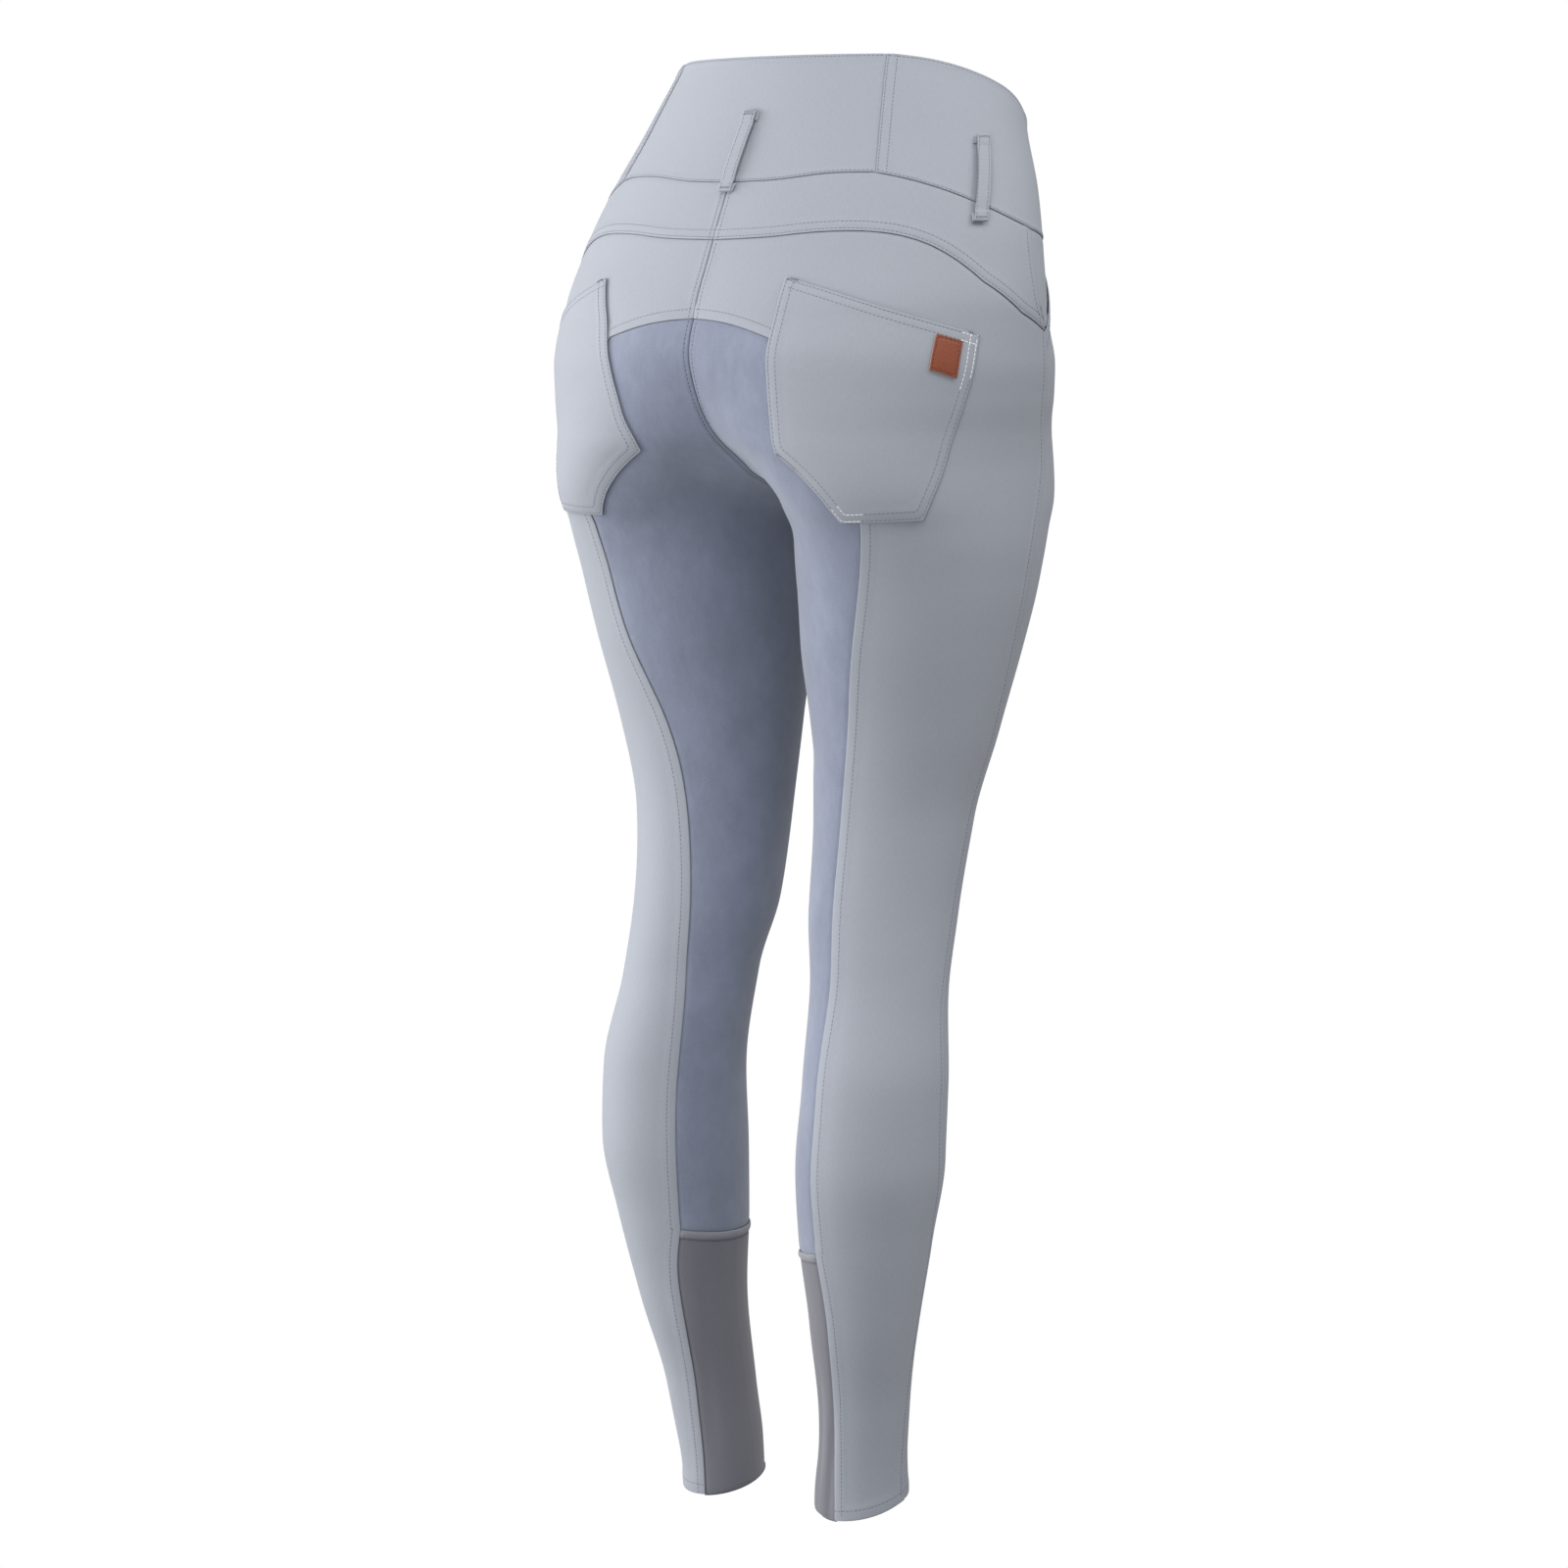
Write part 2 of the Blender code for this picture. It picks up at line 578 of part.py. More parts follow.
    start = band_front[-1][1]
    centre_front = [start + (CROTCH - start) * (1 - (1 - u) ** HIP_EASE)
                    for u in shares(YOKE_ROWS + RISE_ROWS + HIP_ROWS)]
    front_inner = ([(-centre_turn(height), height) for height in centre_front]
                   + front_leg[1:] + front_calf[1:])
    front_outer = mouth + outer_edge[1:]
    make_panel(f"front_{word}", side,
               [patch_places(band_front, hem_run(front_outer[-1], front_inner[-1], FRONT_FACES),
                             front_outer, front_inner)], "light_cloth")


def hem_run(start, end, faces):
    """Places along the hem between two turns."""
    places = []
    for u in shares(faces):
        turn = start[0] + (end[0] - start[0]) * u
        places.append((turn, hem_height(turn)))
    return [start] + places[1:-1] + [end]


# ---------------------------------------------------------------- what is sewn on
def make_pocket(side):
    def chain(table, count):
        corners = [(twisted(side, turn, height), height) for turn, height in table]
        return [along(corners, u) for u in shares(count)]

    bottom = chain(POCKET_BOTTOM, POCKET_FACES_ACROSS)
    rows = patch_places(chain(POCKET_TOP, POCKET_FACES_ACROSS), bottom,
                        chain(POCKET_INNER_EDGE, POCKET_FACES_DOWN),
                        chain(POCKET_OUTER_EDGE, POCKET_FACES_DOWN))
    make_panel(f"pocket_{SIDE_NAMES[side]}", side, [rows], "light_cloth",
               lift=PATCH_LIFT + PATCH_WALL, wall=PATCH_WALL)


def make_label(side):
    corners = [(twisted(side, turn, height), height) for turn, height in LABEL_CORNERS]
    top_inner, top_outer, low_outer, low_inner = corners
    rows = [[blend(blend(top_inner, low_inner, v), blend(top_outer, low_outer, v), u)
             for u in shares(LABEL_FACES)] for v in shares(LABEL_FACES)]
    make_panel("label", side, [rows], "leather",
               lift=2 * PATCH_LIFT + 2 * PATCH_WALL, wall=PATCH_WALL)


def make_strap(name, side, row):
    """Belt loop across the band's seam, sewn down at both ends and bowed out between."""
    top_turn, bottom_turn, drop, overhang = row
    top_turn, bottom_turn = (turn + side * BAND_TWIST for turn in (top_turn, bottom_turn))
    top = smooth_value(TOP_EDGE, top_turn) - drop
    bottom = smooth_value(BAND_SEAM, bottom_turn) - overhang
    rows = []
    for v in (0.0, STRAP_SEWN, STRAP_OFF, 0.5, 1 - STRAP_OFF, 1 - STRAP_SEWN, 1.0):
        height = top + (bottom - top) * v
        middle = min(top_turn + (bottom_turn - top_turn) * v, centre_turn(height))
        rise = min(1.0, max(0.0, min(v, 1 - v) - STRAP_SEWN) / (STRAP_OFF - STRAP_SEWN))
        lift = PATCH_LIFT + STRAP_WALL + (STRAP_BOW - PATCH_LIFT) * rise
        centre = lifted(side, (middle, height), lift)
        across = form_normal(side, middle, height).cross(Vector((0, 0, 1))).normalized()
        if middle == centre_turn(height):
            across = Vector((1, 0, 0))
        rows.append([centre + across * STRAP_WIDTH * share for share in (-0.5, 0.5)])
    return make_cloth(name, [rows], "light_cloth", STRAP_WALL)


def make_fly(side):
    """Plain placket beside the centre front, from the band down to its rounded end."""
    start = centre_place(BAND_SEAM, front=True)[1] - FLY_INSET
    rows = []
    for v in shares(FLY_ROWS):
        height = start + (FLY_END - start) * v
        out, half_width, *_ = section(height)
        width = FLY_WIDTH * math.sqrt(1 - (max(0.0, v - FLY_CURVE_START) / FLY_CURVE) ** 2)
        row = []
        for u in shares(FLY_FACES):
            reach = (FLY_INSET + (width - FLY_INSET) * u - out) / half_width
            row.append((-math.degrees(math.acos(reach)), height))
        rows.append(row)
    make_panel("fly", side, [rows], "light_cloth", lift=PATCH_LIFT + PATCH_WALL, wall=PATCH_WALL)


def make_button(name, side, height):
    out, half_width, *_ = section(height)
    turn = -math.degrees(math.acos((BUTTON_FROM_FRONT - out) / half_width))
    normal = form_normal(side, turn, height)
    place = lifted(side, (turn, height), PATCH_LIFT + BUTTON_THICKNESS / 2)
    bm = bmesh.new()
    bmesh.ops.create_cone(bm, cap_ends=True, segments=BUTTON_FACES, radius1=BUTTON_RADIUS,
                          radius2=BUTTON_RADIUS, depth=BUTTON_THICKNESS)
    piece = add_object(name, bm, "button")
    piece.location = place
    piece.rotation_euler = normal.to_track_quat("Z", "Y").to_euler()
    edge = piece.modifiers.new("rounded_edge", "BEVEL")
    edge.width = BUTTON_EDGE
    edge.segments = 2


def build():
    start_scene()
    make_waistband()
    for side in SIDE_NAMES:
        make_side(side)
        make_pocket(side)
        make_strap(f"loop_side_{SIDE_NAMES[side]}", side, SIDE_LOOP)
        make_strap(f"loop_front_{SIDE_NAMES[side]}", side, FRONT_LOOP)
    make_strap("loop_back", LEFT, BACK_LOOP)
    make_label(RIGHT)
    make_fly(LEFT)
    band_top, band_bottom = smooth_value(TOP_EDGE, -90.0), smooth_value(BAND_SEAM, -90.0)
    for name, share in BUTTON_SHARES.items():
        make_button(name, LEFT, band_top + (band_bottom - band_top) * share)


build()
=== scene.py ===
# %% [markdown]
# # Riding breeches
#
# Light stretch cloth with a suede seat and stretch calf panels, filled out as on a shop's form.
# The CAD gives each cut piece as a plain solid. This script lays the outer skin of each solid on
# the garment's form, and adds the relief of the sewing, the stitches and the finishes.

import math
from types import SimpleNamespace

import bmesh
import bpy
import numpy as np
from mathutils import Matrix, Vector
from mathutils.bvhtree import BVHTree
from mathutils.kdtree import KDTree


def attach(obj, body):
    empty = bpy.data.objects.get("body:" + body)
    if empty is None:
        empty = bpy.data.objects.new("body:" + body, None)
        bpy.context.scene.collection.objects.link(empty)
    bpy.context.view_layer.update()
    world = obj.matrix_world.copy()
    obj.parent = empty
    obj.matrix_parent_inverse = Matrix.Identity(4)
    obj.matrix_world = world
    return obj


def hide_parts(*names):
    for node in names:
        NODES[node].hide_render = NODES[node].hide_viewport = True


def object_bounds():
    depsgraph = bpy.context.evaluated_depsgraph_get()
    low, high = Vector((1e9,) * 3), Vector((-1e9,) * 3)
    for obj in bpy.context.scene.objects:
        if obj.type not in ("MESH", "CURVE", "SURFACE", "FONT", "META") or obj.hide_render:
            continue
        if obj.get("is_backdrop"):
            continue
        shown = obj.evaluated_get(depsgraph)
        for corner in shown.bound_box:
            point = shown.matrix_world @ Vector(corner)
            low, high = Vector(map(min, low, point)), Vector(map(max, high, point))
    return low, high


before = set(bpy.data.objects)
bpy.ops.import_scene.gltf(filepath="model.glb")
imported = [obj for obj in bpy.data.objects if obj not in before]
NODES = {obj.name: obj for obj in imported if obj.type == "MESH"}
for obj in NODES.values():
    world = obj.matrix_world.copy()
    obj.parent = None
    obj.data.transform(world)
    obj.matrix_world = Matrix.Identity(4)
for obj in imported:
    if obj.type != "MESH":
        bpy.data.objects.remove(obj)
cad_low, cad_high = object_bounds()
MM = 0.001
print("nodes", len(NODES))

# %% [markdown]
# ## The form
#
# The garment's form is a stack of level sections, one ellipse for each leg, as a pattern maker
# would measure it: half widths and depths at a few heights. A curve that never overshoots joins
# them. Each cloth piece is laid on this form, so the seams of neighbours meet without a step.

# %% Sections of the form
# height, middle to outer side, middle to inner side, side line behind the origin, depth of the
# back, depth of the front
SECTIONS = (
    (0.000, 0.123, -0.123, 0.000, 0.090, 0.090),
    (-0.045, 0.140, -0.132, 0.019, 0.093, 0.090),
    (-0.085, 0.157, -0.141, 0.032, 0.102, 0.096),
    (-0.125, 0.169, -0.139, 0.044, 0.109, 0.100),
    (-0.165, 0.175, -0.125, 0.051, 0.120, 0.108),
    (-0.195, 0.175, -0.100, 0.051, 0.129, 0.115),
    (-0.220, 0.172, -0.069, 0.050, 0.128, 0.115),
    (-0.245, 0.1675, -0.035, 0.048, 0.127, 0.114),
    (-0.265, 0.166, -0.002, 0.047, 0.1225, 0.111),
    (-0.287, 0.166, 0.016, 0.047, 0.114, 0.106),
    (-0.305, 0.1657, 0.0185, 0.047, 0.103, 0.097),
    (-0.340, 0.1617, 0.0165, 0.046, 0.092, 0.087),
    (-0.380, 0.1532, 0.0165, 0.047, 0.082, 0.079),
    (-0.435, 0.1395, 0.0205, 0.048, 0.067, 0.065),
    (-0.495, 0.1245, 0.0235, 0.053, 0.057, 0.056),
    (-0.555, 0.120, 0.026, 0.063, 0.053, 0.053),
    (-0.605, 0.122, 0.034, 0.074, 0.049, 0.047),
    (-0.665, 0.129, 0.037, 0.084, 0.054, 0.048),
    (-0.715, 0.128, 0.034, 0.086, 0.056, 0.049),
    (-0.765, 0.119, 0.033, 0.084, 0.050, 0.043),
    (-0.825, 0.106, 0.036, 0.080, 0.040, 0.036),
    (-0.885, 0.093, 0.035, 0.071, 0.033, 0.032),
    (-0.945, 0.086, 0.030, 0.066, 0.031, 0.032),
    (-0.985, 0.085, 0.029, 0.065, 0.031, 0.032),
)
# Height, and the share of the half width beyond which the cloth leaves the ellipse along its
# tangent: it bridges the hollow between the legs.
BRIDGE = ((-0.205, 0.80), (-0.245, 0.62), (-0.265, 0.576), (-0.2755, 0.67), (-0.287, 0.8242),
          (-0.294, 0.94), (-0.303, 0.995))
MIDDLE = 0.0004          # nearer to the middle plane than this, a point stays in its own plane
MIDDLE_GAP = 0.00015     # from the middle plane to the centre seam's edge
SLOPE_STEP = 0.0003
LAYING_STEPS = 5


def smooth_curve(table):
    """Rows, values and slopes of a curve through a table that doesn't overshoot."""
    rows = np.array(sorted(table))
    places, values = rows[:, 0], rows[:, 1:]
    steps = np.diff(values, axis=0) / np.diff(places)[:, None]
    before, after = steps[:-1], steps[1:]
    same_way = before * after > 0
    slopes = np.where(same_way, 2 * before * after / np.where(same_way, before + after, 1.0), 0)
    return places, values, np.vstack([steps[:1], slopes, steps[-1:]])


def read_curve(curve, wanted):
    places, values, slopes = curve
    wanted = np.clip(wanted, places[0], places[-1])
    row = np.clip(np.searchsorted(places, wanted, side="right") - 1, 0, len(places) - 2)
    span = (places[row + 1] - places[row])[:, None]
    t = (wanted - places[row])[:, None] / span
    rise = 3 * t ** 2 - 2 * t ** 3
    return (values[row] * (1 - rise) + values[row + 1] * rise
            + span * (t ** 3 - 2 * t ** 2 + t) * slopes[row]
            + span * (t ** 3 - t ** 2) * slopes[row + 1])


FORM = smooth_curve(SECTIONS)
BRIDGE_CURVE = smooth_curve(BRIDGE)


def unit(vectors):
    """Vectors of length 1 in the same directions."""
    return vectors / np.maximum(np.linalg.norm(vectors, axis=-1, keepdims=True), 1e-12)


def side_of(points):
    """1 for the wearer's left, -1 for the right."""
    return np.where(points[:, 0] >= 0, 1.0, -1.0)


def section_place(points):
    """Where each point lies in its section: out and back as shares of the ellipse's radii."""
    outer, inner, back, back_depth, front_depth = read_curve(FORM, points[:, 2]).T
    out = (side_of(points) * points[:, 0] - (outer + inner) / 2) / ((outer - inner) / 2)
    behind = points[:, 1] - back
    return out, behind / np.where(behind > 0, back_depth, front_depth)


def leg_radius(points):
    """Mean radius of the section at each point's height."""
    outer, inner, _, back_depth, front_depth = read_curve(FORM, points[:, 2]).T
    return ((outer - inner) / 2 + (back_depth + front_depth) / 2) / 2


def bridged(points):
    """Which points lie beside the bridging cloth, how far out they are there, and its start."""
    out, back = section_place(points)
    start = read_curve(BRIDGE_CURVE, points[:, 2])[:, 0]
    beside = np.abs(np.arctan2(back, out)) > np.arccos(-start)
    return beside, np.sqrt(1 - start ** 2) * np.abs(back) - start * out, start


def beyond_form(points):
    """0 on the form, above 0 outside it."""
    beside, reach, _ = bridged(points)
    return np.where(beside, reach, np.hypot(*section_place(points))) - 1


def form_slopes(points):
    slopes = np.empty_like(points)
    for axis in range(3):
        offset = np.zeros(3)
        offset[axis] = SLOPE_STEP
        rise = beyond_form(points + offset) - beyond_form(points - offset)
        slopes[:, axis] = rise / (2 * SLOPE_STEP)
    slopes[np.abs(points[:, 0]) < MIDDLE, 0] = 0
    return slopes


def form_normals(points):
    return unit(form_slopes(points))


def laid_on_form(points):
    side = side_of(points)
    middle = np.abs(points[:, 0]) < MIDDLE
    for _ in range(LAYING_STEPS):
        slopes = form_slopes(points)
        points = points - (beyond_form(points) / (slopes ** 2).sum(axis=1))[:, None] * slopes
        points[:, 0] = np.where(middle, points[:, 0],
                                side * np.maximum(side * points[:, 0], MIDDLE_GAP))
    return points


def turns_of(points):
    """Turn round the leg's section in degrees: 0 outer side, 90 back, 180 inner, -90 front."""
    out, back = section_place(points)
    beside, reach, start = bridged(points)
    start_turn = np.degrees(np.arccos(-start))
    share = (-out / np.maximum(reach, 0.1) - start) / (1 / start - start)
    beyond = np.copysign(start_turn + np.clip(share, 0, 1) * (180 - start_turn), back)
    return np.where(beside, beyond, np.degrees(np.arctan2(back, out)))


# %% [markdown]
# ## From a solid to a fine sheet
#
# Only the outside of a cloth solid shows its cut. Its triangles are joined into four-sided
# faces, made finer with a Subdivision Surface and laid on the form again. Creased corners keep
# the outline of the cut. Along the edges, where a turned edge rounds over within a millimetre,
# two narrow rings are set in and the faces beside them are cut into strips.

# %% Outer skins
OUTWARD = 0.6            # least cosine between an outer face and the form's own direction
CORNER_TURN = math.radians(24)
SHARP_TURN = math.radians(40)
FINENESS = 3
WELD = 0.002 * MM
JOIN_TURN = 1.2          # radians, how unlike two triangles may be and still be joined
JOIN_SHAPE = 1.5
KEEP_ROWS = 0.6          # how strongly joined faces keep to rows
RINGS = (0.35, 0.5)     # mm, widths of the rings along the edge
STRIPS = 3               # rows of faces along an edge that are cut finer
STRIP_CUTS = 2


def family(name):
    return name.replace("_left", "").replace("_right", "")


def places_of(vertices):
    return np.array([vertex.co[:] for vertex in vertices])


def mesh_of(bm, name):
    """A mesh of a bmesh, which is freed."""
    mesh = bpy.data.meshes.new(name)
    bm.to_mesh(mesh)
    bm.free()
    return mesh


def facings(faces):
    """The cosine between each face's direction and the form's own."""
    middles = np.array([face.calc_center_median()[:] for face in faces])
    return (form_normals(middles) * [face.normal[:] for face in faces]).sum(axis=1)


def outer_skin(name):
    bm = bmesh.new()
    bm.from_mesh(NODES[name].data)
    bmesh.ops.remove_doubles(bm, verts=bm.verts, dist=WELD)
    hidden = [face for face, cosine in zip(bm.faces, facings(bm.faces)) if cosine < OUTWARD]
    bmesh.ops.delete(bm, geom=hidden, context="FACES")
    bmesh.ops.join_triangles(bm, faces=bm.faces, angle_face_threshold=JOIN_TURN,
                             angle_shape_threshold=JOIN_SHAPE, topology_influence=KEEP_ROWS)
    return bm


def edge_chains(bm):
    """Closed chains of vertices round the sheet, with the cloth on their left."""
    following = {}
    for edge in bm.edges:
        if edge.is_boundary:
            loop = edge.link_loops[0]
            following[loop.vert] = loop.link_loop_next.vert
    chains = []
    while following:
        vertex = next(iter(following))
        chain = []
        while vertex in following:
            chain.append(vertex)
            vertex = following.pop(vertex)
        chains.append(chain)
    return chains


# %% [markdown]
# ## Neighbours
#
# A seam looks different on its two sides: one edge lies on top, turned under and topstitched,
# and the other goes beneath it. So each stretch of an edge has to know which piece it meets.

# %% Neighbours of an edge
SEWN_ON = ("pocket", "fly", "label", "loop_side", "loop_front", "loop_back", "button_upper",
           "button_lower")
MEETING = 0.9 * MM
base_trees = {}
for node_name, node in NODES.items():
    if family(node_name) not in SEWN_ON:
        corners = [vertex.co[:] for vertex in node.data.vertices]
        faces = [tuple(polygon.vertices) for polygon in node.data.polygons]
        base_trees[node_name] = BVHTree.FromPolygons(corners, faces)


def neighbour(name, place):
    """Name of the piece that meets this one at a place on its edge, or free."""
    if family(name) in SEWN_ON:
        return "free"
    nearest, found = MEETING, "free"
    for other, tree in base_trees.items():
        if other != name:
            distance = tree.find_nearest(place, nearest)[3]
            if distance is not None and distance < nearest:
                nearest, found = distance, other
    return found


def split_runs(chain, labels):
    """Splits a closed chain into (neighbour, chain) runs."""
    count = len(chain)
    starts = [i for i in range(count) if labels[i] != labels[i - 1]]
    if not starts:
        return [(labels[0], list(chain) + [chain[0]])]
    runs = []
    for start, end in zip(starts, starts[1:] + [starts[0] + count]):
        runs.append((labels[start], [chain[i % count] for i in range(start, end + 1)]))
    return runs


def chain_ends(chain):
    """First and last corners of each edge of a closed chain."""
    first = places_of(chain)
    return first, np.roll(first, -1, axis=0)


def from_edges(points, a, b):
    """Distance from each point to the edge from a to b."""
    along = b - a
    share = ((points - a) * along).sum(axis=1) / np.maximum((along ** 2).sum(axis=1), 1e-12)
    return np.linalg.norm(points - a - np.clip(share, 0, 1)[:, None] * along, axis=1)


def labels_from(known, chain):
    """The label of the nearest known edge, for each edge of a chain."""
    a, b, labels, _ = known
    first, last = chain_ends(chain)
    return [labels[np.argmin(from_edges(middle, a, b))] for middle in (first + last) / 2]


def turn_at(chain, i):
    before = chain[i].co - chain[i - 1].co
    after = chain[(i + 1) % len(chain)].co - chain[i].co
    return before.angle(after, 0.0)


def mark_corners(bm, name):
    """Creases corners and ends of seams. Returns the edges, their labels and the sharp corners."""
    crease = bm.verts.layers.float.new("crease_vert")
    starts, ends, all_labels, sharp = [], [], [], []
    for chain in edge_chains(bm):
        first, last = chain_ends(chain)
        labels = [neighbour(name, place) for place in (first + last) / 2]
        for i, vertex in enumerate(chain):
            if turn_at(chain, i) > CORNER_TURN or labels[i] != labels[i - 1]:
                vertex[crease] = 1.0
            if turn_at(chain, i) > SHARP_TURN:
                sharp.append(vertex.co[:])
        starts.append(first)
        ends.append(last)
        all_labels += labels
    return np.vstack(starts), np.vstack(ends), all_labels, np.array(sharp)


def show(name, mesh):
    piece = bpy.data.objects.new(name, mesh)
    bpy.context.scene.collection.objects.link(piece)
    return piece


def made_finer(bm, name, levels=FINENESS):
    known = mark_corners(bm, name)
    mesh = mesh_of(bm, name)
    piece = show(name + "_coarse", mesh)
    finer = piece.modifiers.new("finer", "SUBSURF")
    finer.levels = levels
    finer.render_levels = levels
    finer.boundary_smooth = "PRESERVE_CORNERS"
    fine_mesh = bpy.data.meshes.new_from_object(
        piece.evaluated_get(bpy.context.evaluated_depsgraph_get()))
    bpy.data.objects.remove(piece)
    fine = bmesh.new()
    fine.from_mesh(fine_mesh)
    bpy.data.meshes.remove(fine_mesh)
    bpy.data.meshes.remove(mesh)
    return fine, known


def add_rings(bm):
    """Sets the rings in and returns their faces."""
    ringed = set()
    for width in RINGS:
        inner = [face for face in bm.faces if face not in ringed]
        made = bmesh.ops.inset_region(bm, faces=inner, use_boundary=True, use_even_offset=True,
                                      thickness=width * MM)
        ringed.update(made["faces"])
    return ringed


def cut_strips(bm, ringed):
    """Cuts the rows of faces next to the rings into strips."""
    done = {vertex for face in ringed for vertex in face.verts}
    row, across = set(done), set()
    for _ in range(STRIPS):
        inward = {edge for vertex in row for edge in vertex.link_edges
                  if edge.other_vert(vertex) not in done}
        across |= inward
        row = {vertex for edge in inward for vertex in edge.verts} - done
        done |= row
    bmesh.ops.subdivide_edges(bm, edges=list(across), cuts=STRIP_CUTS, use_grid_fill=True)


# %% [markdown]
# ## How each edge is sewn
#
# The kinds of edge a maker would name. "over": lies on top, turned under and topstitched.
# "under": goes beneath its neighbour. "centre": a plain seam, its allowances stitched down on
# both sides. "turned": a hem. "rolled": a narrow turned-back band. The numbers are the rows of
# topstitch, in millimetres from the edge. Every pair that isn't in the table is "under".

# %% Table of edges
# kind, rows of topstitch, and the pairs: a piece and what its edge meets
EDGE_KINDS = (
    ("turned", (1.6,), "waistband free, waistband_back free"),
    ("over", (1.1,), "waistband yoke, waistband hip_pocket, waistband front, waistband_back yoke"),
    ("over", (1.2, 6.8), "waistband waistband_back"),
    ("over", (2.0,), "waistband waistband"),
    ("centre", (3.3,), "yoke yoke, back back, front front, seat seat"),
    ("over", (1.7, 6.6), "yoke back"),
    ("over", (4.8,), "yoke hip_pocket"),
    ("over", (6.2,), "back seat, front seat"),
    ("over", (5.4,), "back calf, back front, front calf"),
    ("turned", (6.6,), "back free, front free"),
    ("mouth", (1.7, 6.6), "front hip_pocket"),
    ("rolled", (6.4,), "calf seat"),
    ("over", (1.6, 6.6), "pocket free"),
    ("over", (1.6, 5.6), "fly free"),
    ("plain", (1.4,), "label free"),
)
EDGES = {tuple(pair.split()): (kind, rows)
         for kind, rows, pairs in EDGE_KINDS for pair in pairs.split(", ")}
RISES = {"over": 0.48, "turned": 0.4, "mouth": 1.0, "centre": 0.35, "plain": 0.0}    # mm
MOUTH_GAPE = 0.7          # mm, the pocket's mouth stands off the hip halfway down
MOUTH_GAPE_WIDTH = 12.0
MOUTH_GAPE_POWER = 0.7    # below 1 spreads the gape towards both ends
ROLL_RADIUS = 2.5
ROLL_RISE = 1.2
FALL_WIDTH = 3.5          # over which a raised edge falls to the plain cloth
UNDER_DIP = 0.35
UNDER_WIDTH = 3.0
TUCK = 1.1                # how far an edge goes on beneath its neighbour
TUCK_DEPTH = 0.9
SEAM_GROOVE = 0.6
SEAM_GROOVE_WIDTH = 0.8
ROW_DIP = 0.17            # along a row of topstitch
ROW_DIP_WIDTH = 0.9
ROW_MARGIN = 0.6          # a raised edge starts to fall this far past its last row
EDGE_ROUND = 0.9          # over which a folded edge rounds down
EDGE_DROP = 0.5           # by this share of its rise


def smooth_step(share):
    share = np.clip(share, 0, 1)
    return share * share * (3 - 2 * share)


def edge_relief(kind, rows, away):
    """Height of the cloth in mm, this many mm from an edge of this kind."""
    if kind == "under":
        return -UNDER_DIP * (1 - smooth_step(away / UNDER_WIDTH))
    if kind == "rolled":
        roll = np.clip(1 - ((away - ROLL_RADIUS) / ROLL_RADIUS) ** 2, 0, 1)
        height = ROLL_RISE * np.sqrt(roll)
    else:
        top = RISES[kind]
        height = top * (1 - smooth_step((away - max(rows) - ROW_MARGIN) / FALL_WIDTH))
        if kind == "centre":
            height = height - SEAM_GROOVE * (1 - smooth_step(away / SEAM_GROOVE_WIDTH))
        else:
            rounded = 1 - np.sqrt(np.clip(away / EDGE_ROUND, 0, 1))
            height = height - EDGE_DROP * top * rounded
    for row in rows:
        height = height - ROW_DIP * np.exp(-((away - row) / ROW_DIP_WIDTH) ** 2)
    return height


def distance_to(chain, points):
    """Distance in mm from each point to a chain of points."""
    tree = KDTree(len(chain))
    for i, place in enumerate(chain):
        tree.insert(place, i)
    tree.balance()
    nearest = np.array([tree.find(point)[1] for point in points])
    best = np.full(len(points), np.inf)
    for start in (nearest - 1, nearest):
        a, b = (chain[np.clip(end, 0, len(chain) - 1)] for end in (start, start + 1))
        best = np.minimum(best, from_edges(points, a, b))
    return best / MM


# %% [markdown]
# ## Creases
#
# Stretched cloth has few and soft creases: drawn ones beside the crotch and behind the knees,
# and upright ones where the lower legs are loose. Each is a trough, and a negative
# depth makes a ridge.

# %% Table of creases
# side, degrees round the leg, height in metres, lean in degrees, then length, width and depth in mm
CREASES = (
    (1, 150, -0.850, 4, 110, 7, 1.1),
    (1, 130, -0.885, -6, 80, 6, 0.9),
    (1, 112, -0.840, 5, 60, 5, -0.6),
    (-1, 122, -0.900, 3, 90, 5, 1.2),
    (-1, 97, -0.925, 2, 85, 4, 1.3),
    (-1, 143, -0.965, 0, 80, 14, -2.2),
    (-1, -37, -0.965, 0, 80, 16, -2.0),
    (1, 37, -0.965, 0, 80, 14, 1.6),
    (1, 216, -0.965, 0, 80, 14, 1.8),
    (1, 150, -0.455, -68, 62, 11, 1.0),
    (1, 140, -0.395, -74, 74, 12, 0.9),
    (1, 163, -0.345, -62, 60, 10, 1.1),
    (-1, 150, -0.455, 68, 62, 11, 0.8),
    (-1, 160, -0.350, 62, 60, 10, 0.9),
    (1, 125, -0.300, -80, 80, 10, 1.1),
    (1, 112, -0.325, -84, 90, 12, 0.7),
    (-1, 126, -0.305, 80, 70, 10, 0.8),
    (1, 118, -0.600, -84, 70, 12, 0.6),
    (-1, 60, -0.595, 84, 80, 12, 0.5),
    (1, 60, -0.230, -55, 80, 12, 0.5),
    (-1, -25, -0.207, 0, 48, 13, -1.9),
    (1, -23, -0.212, 0, 44, 12, -1.5),
    (1, -150, -0.310, 60, 60, 10, 0.9),
    (-1, -150, -0.310, -60, 60, 10, 0.9),
    (1, -120, -0.330, 55, 60, 10, 0.6),
    (-1, -120, -0.330, -55, 60, 10, 0.6),
    (1, -95, -0.590, 84, 80, 12, 0.6),
    (-1, -95, -0.600, -84, 80, 12, 0.6),
)


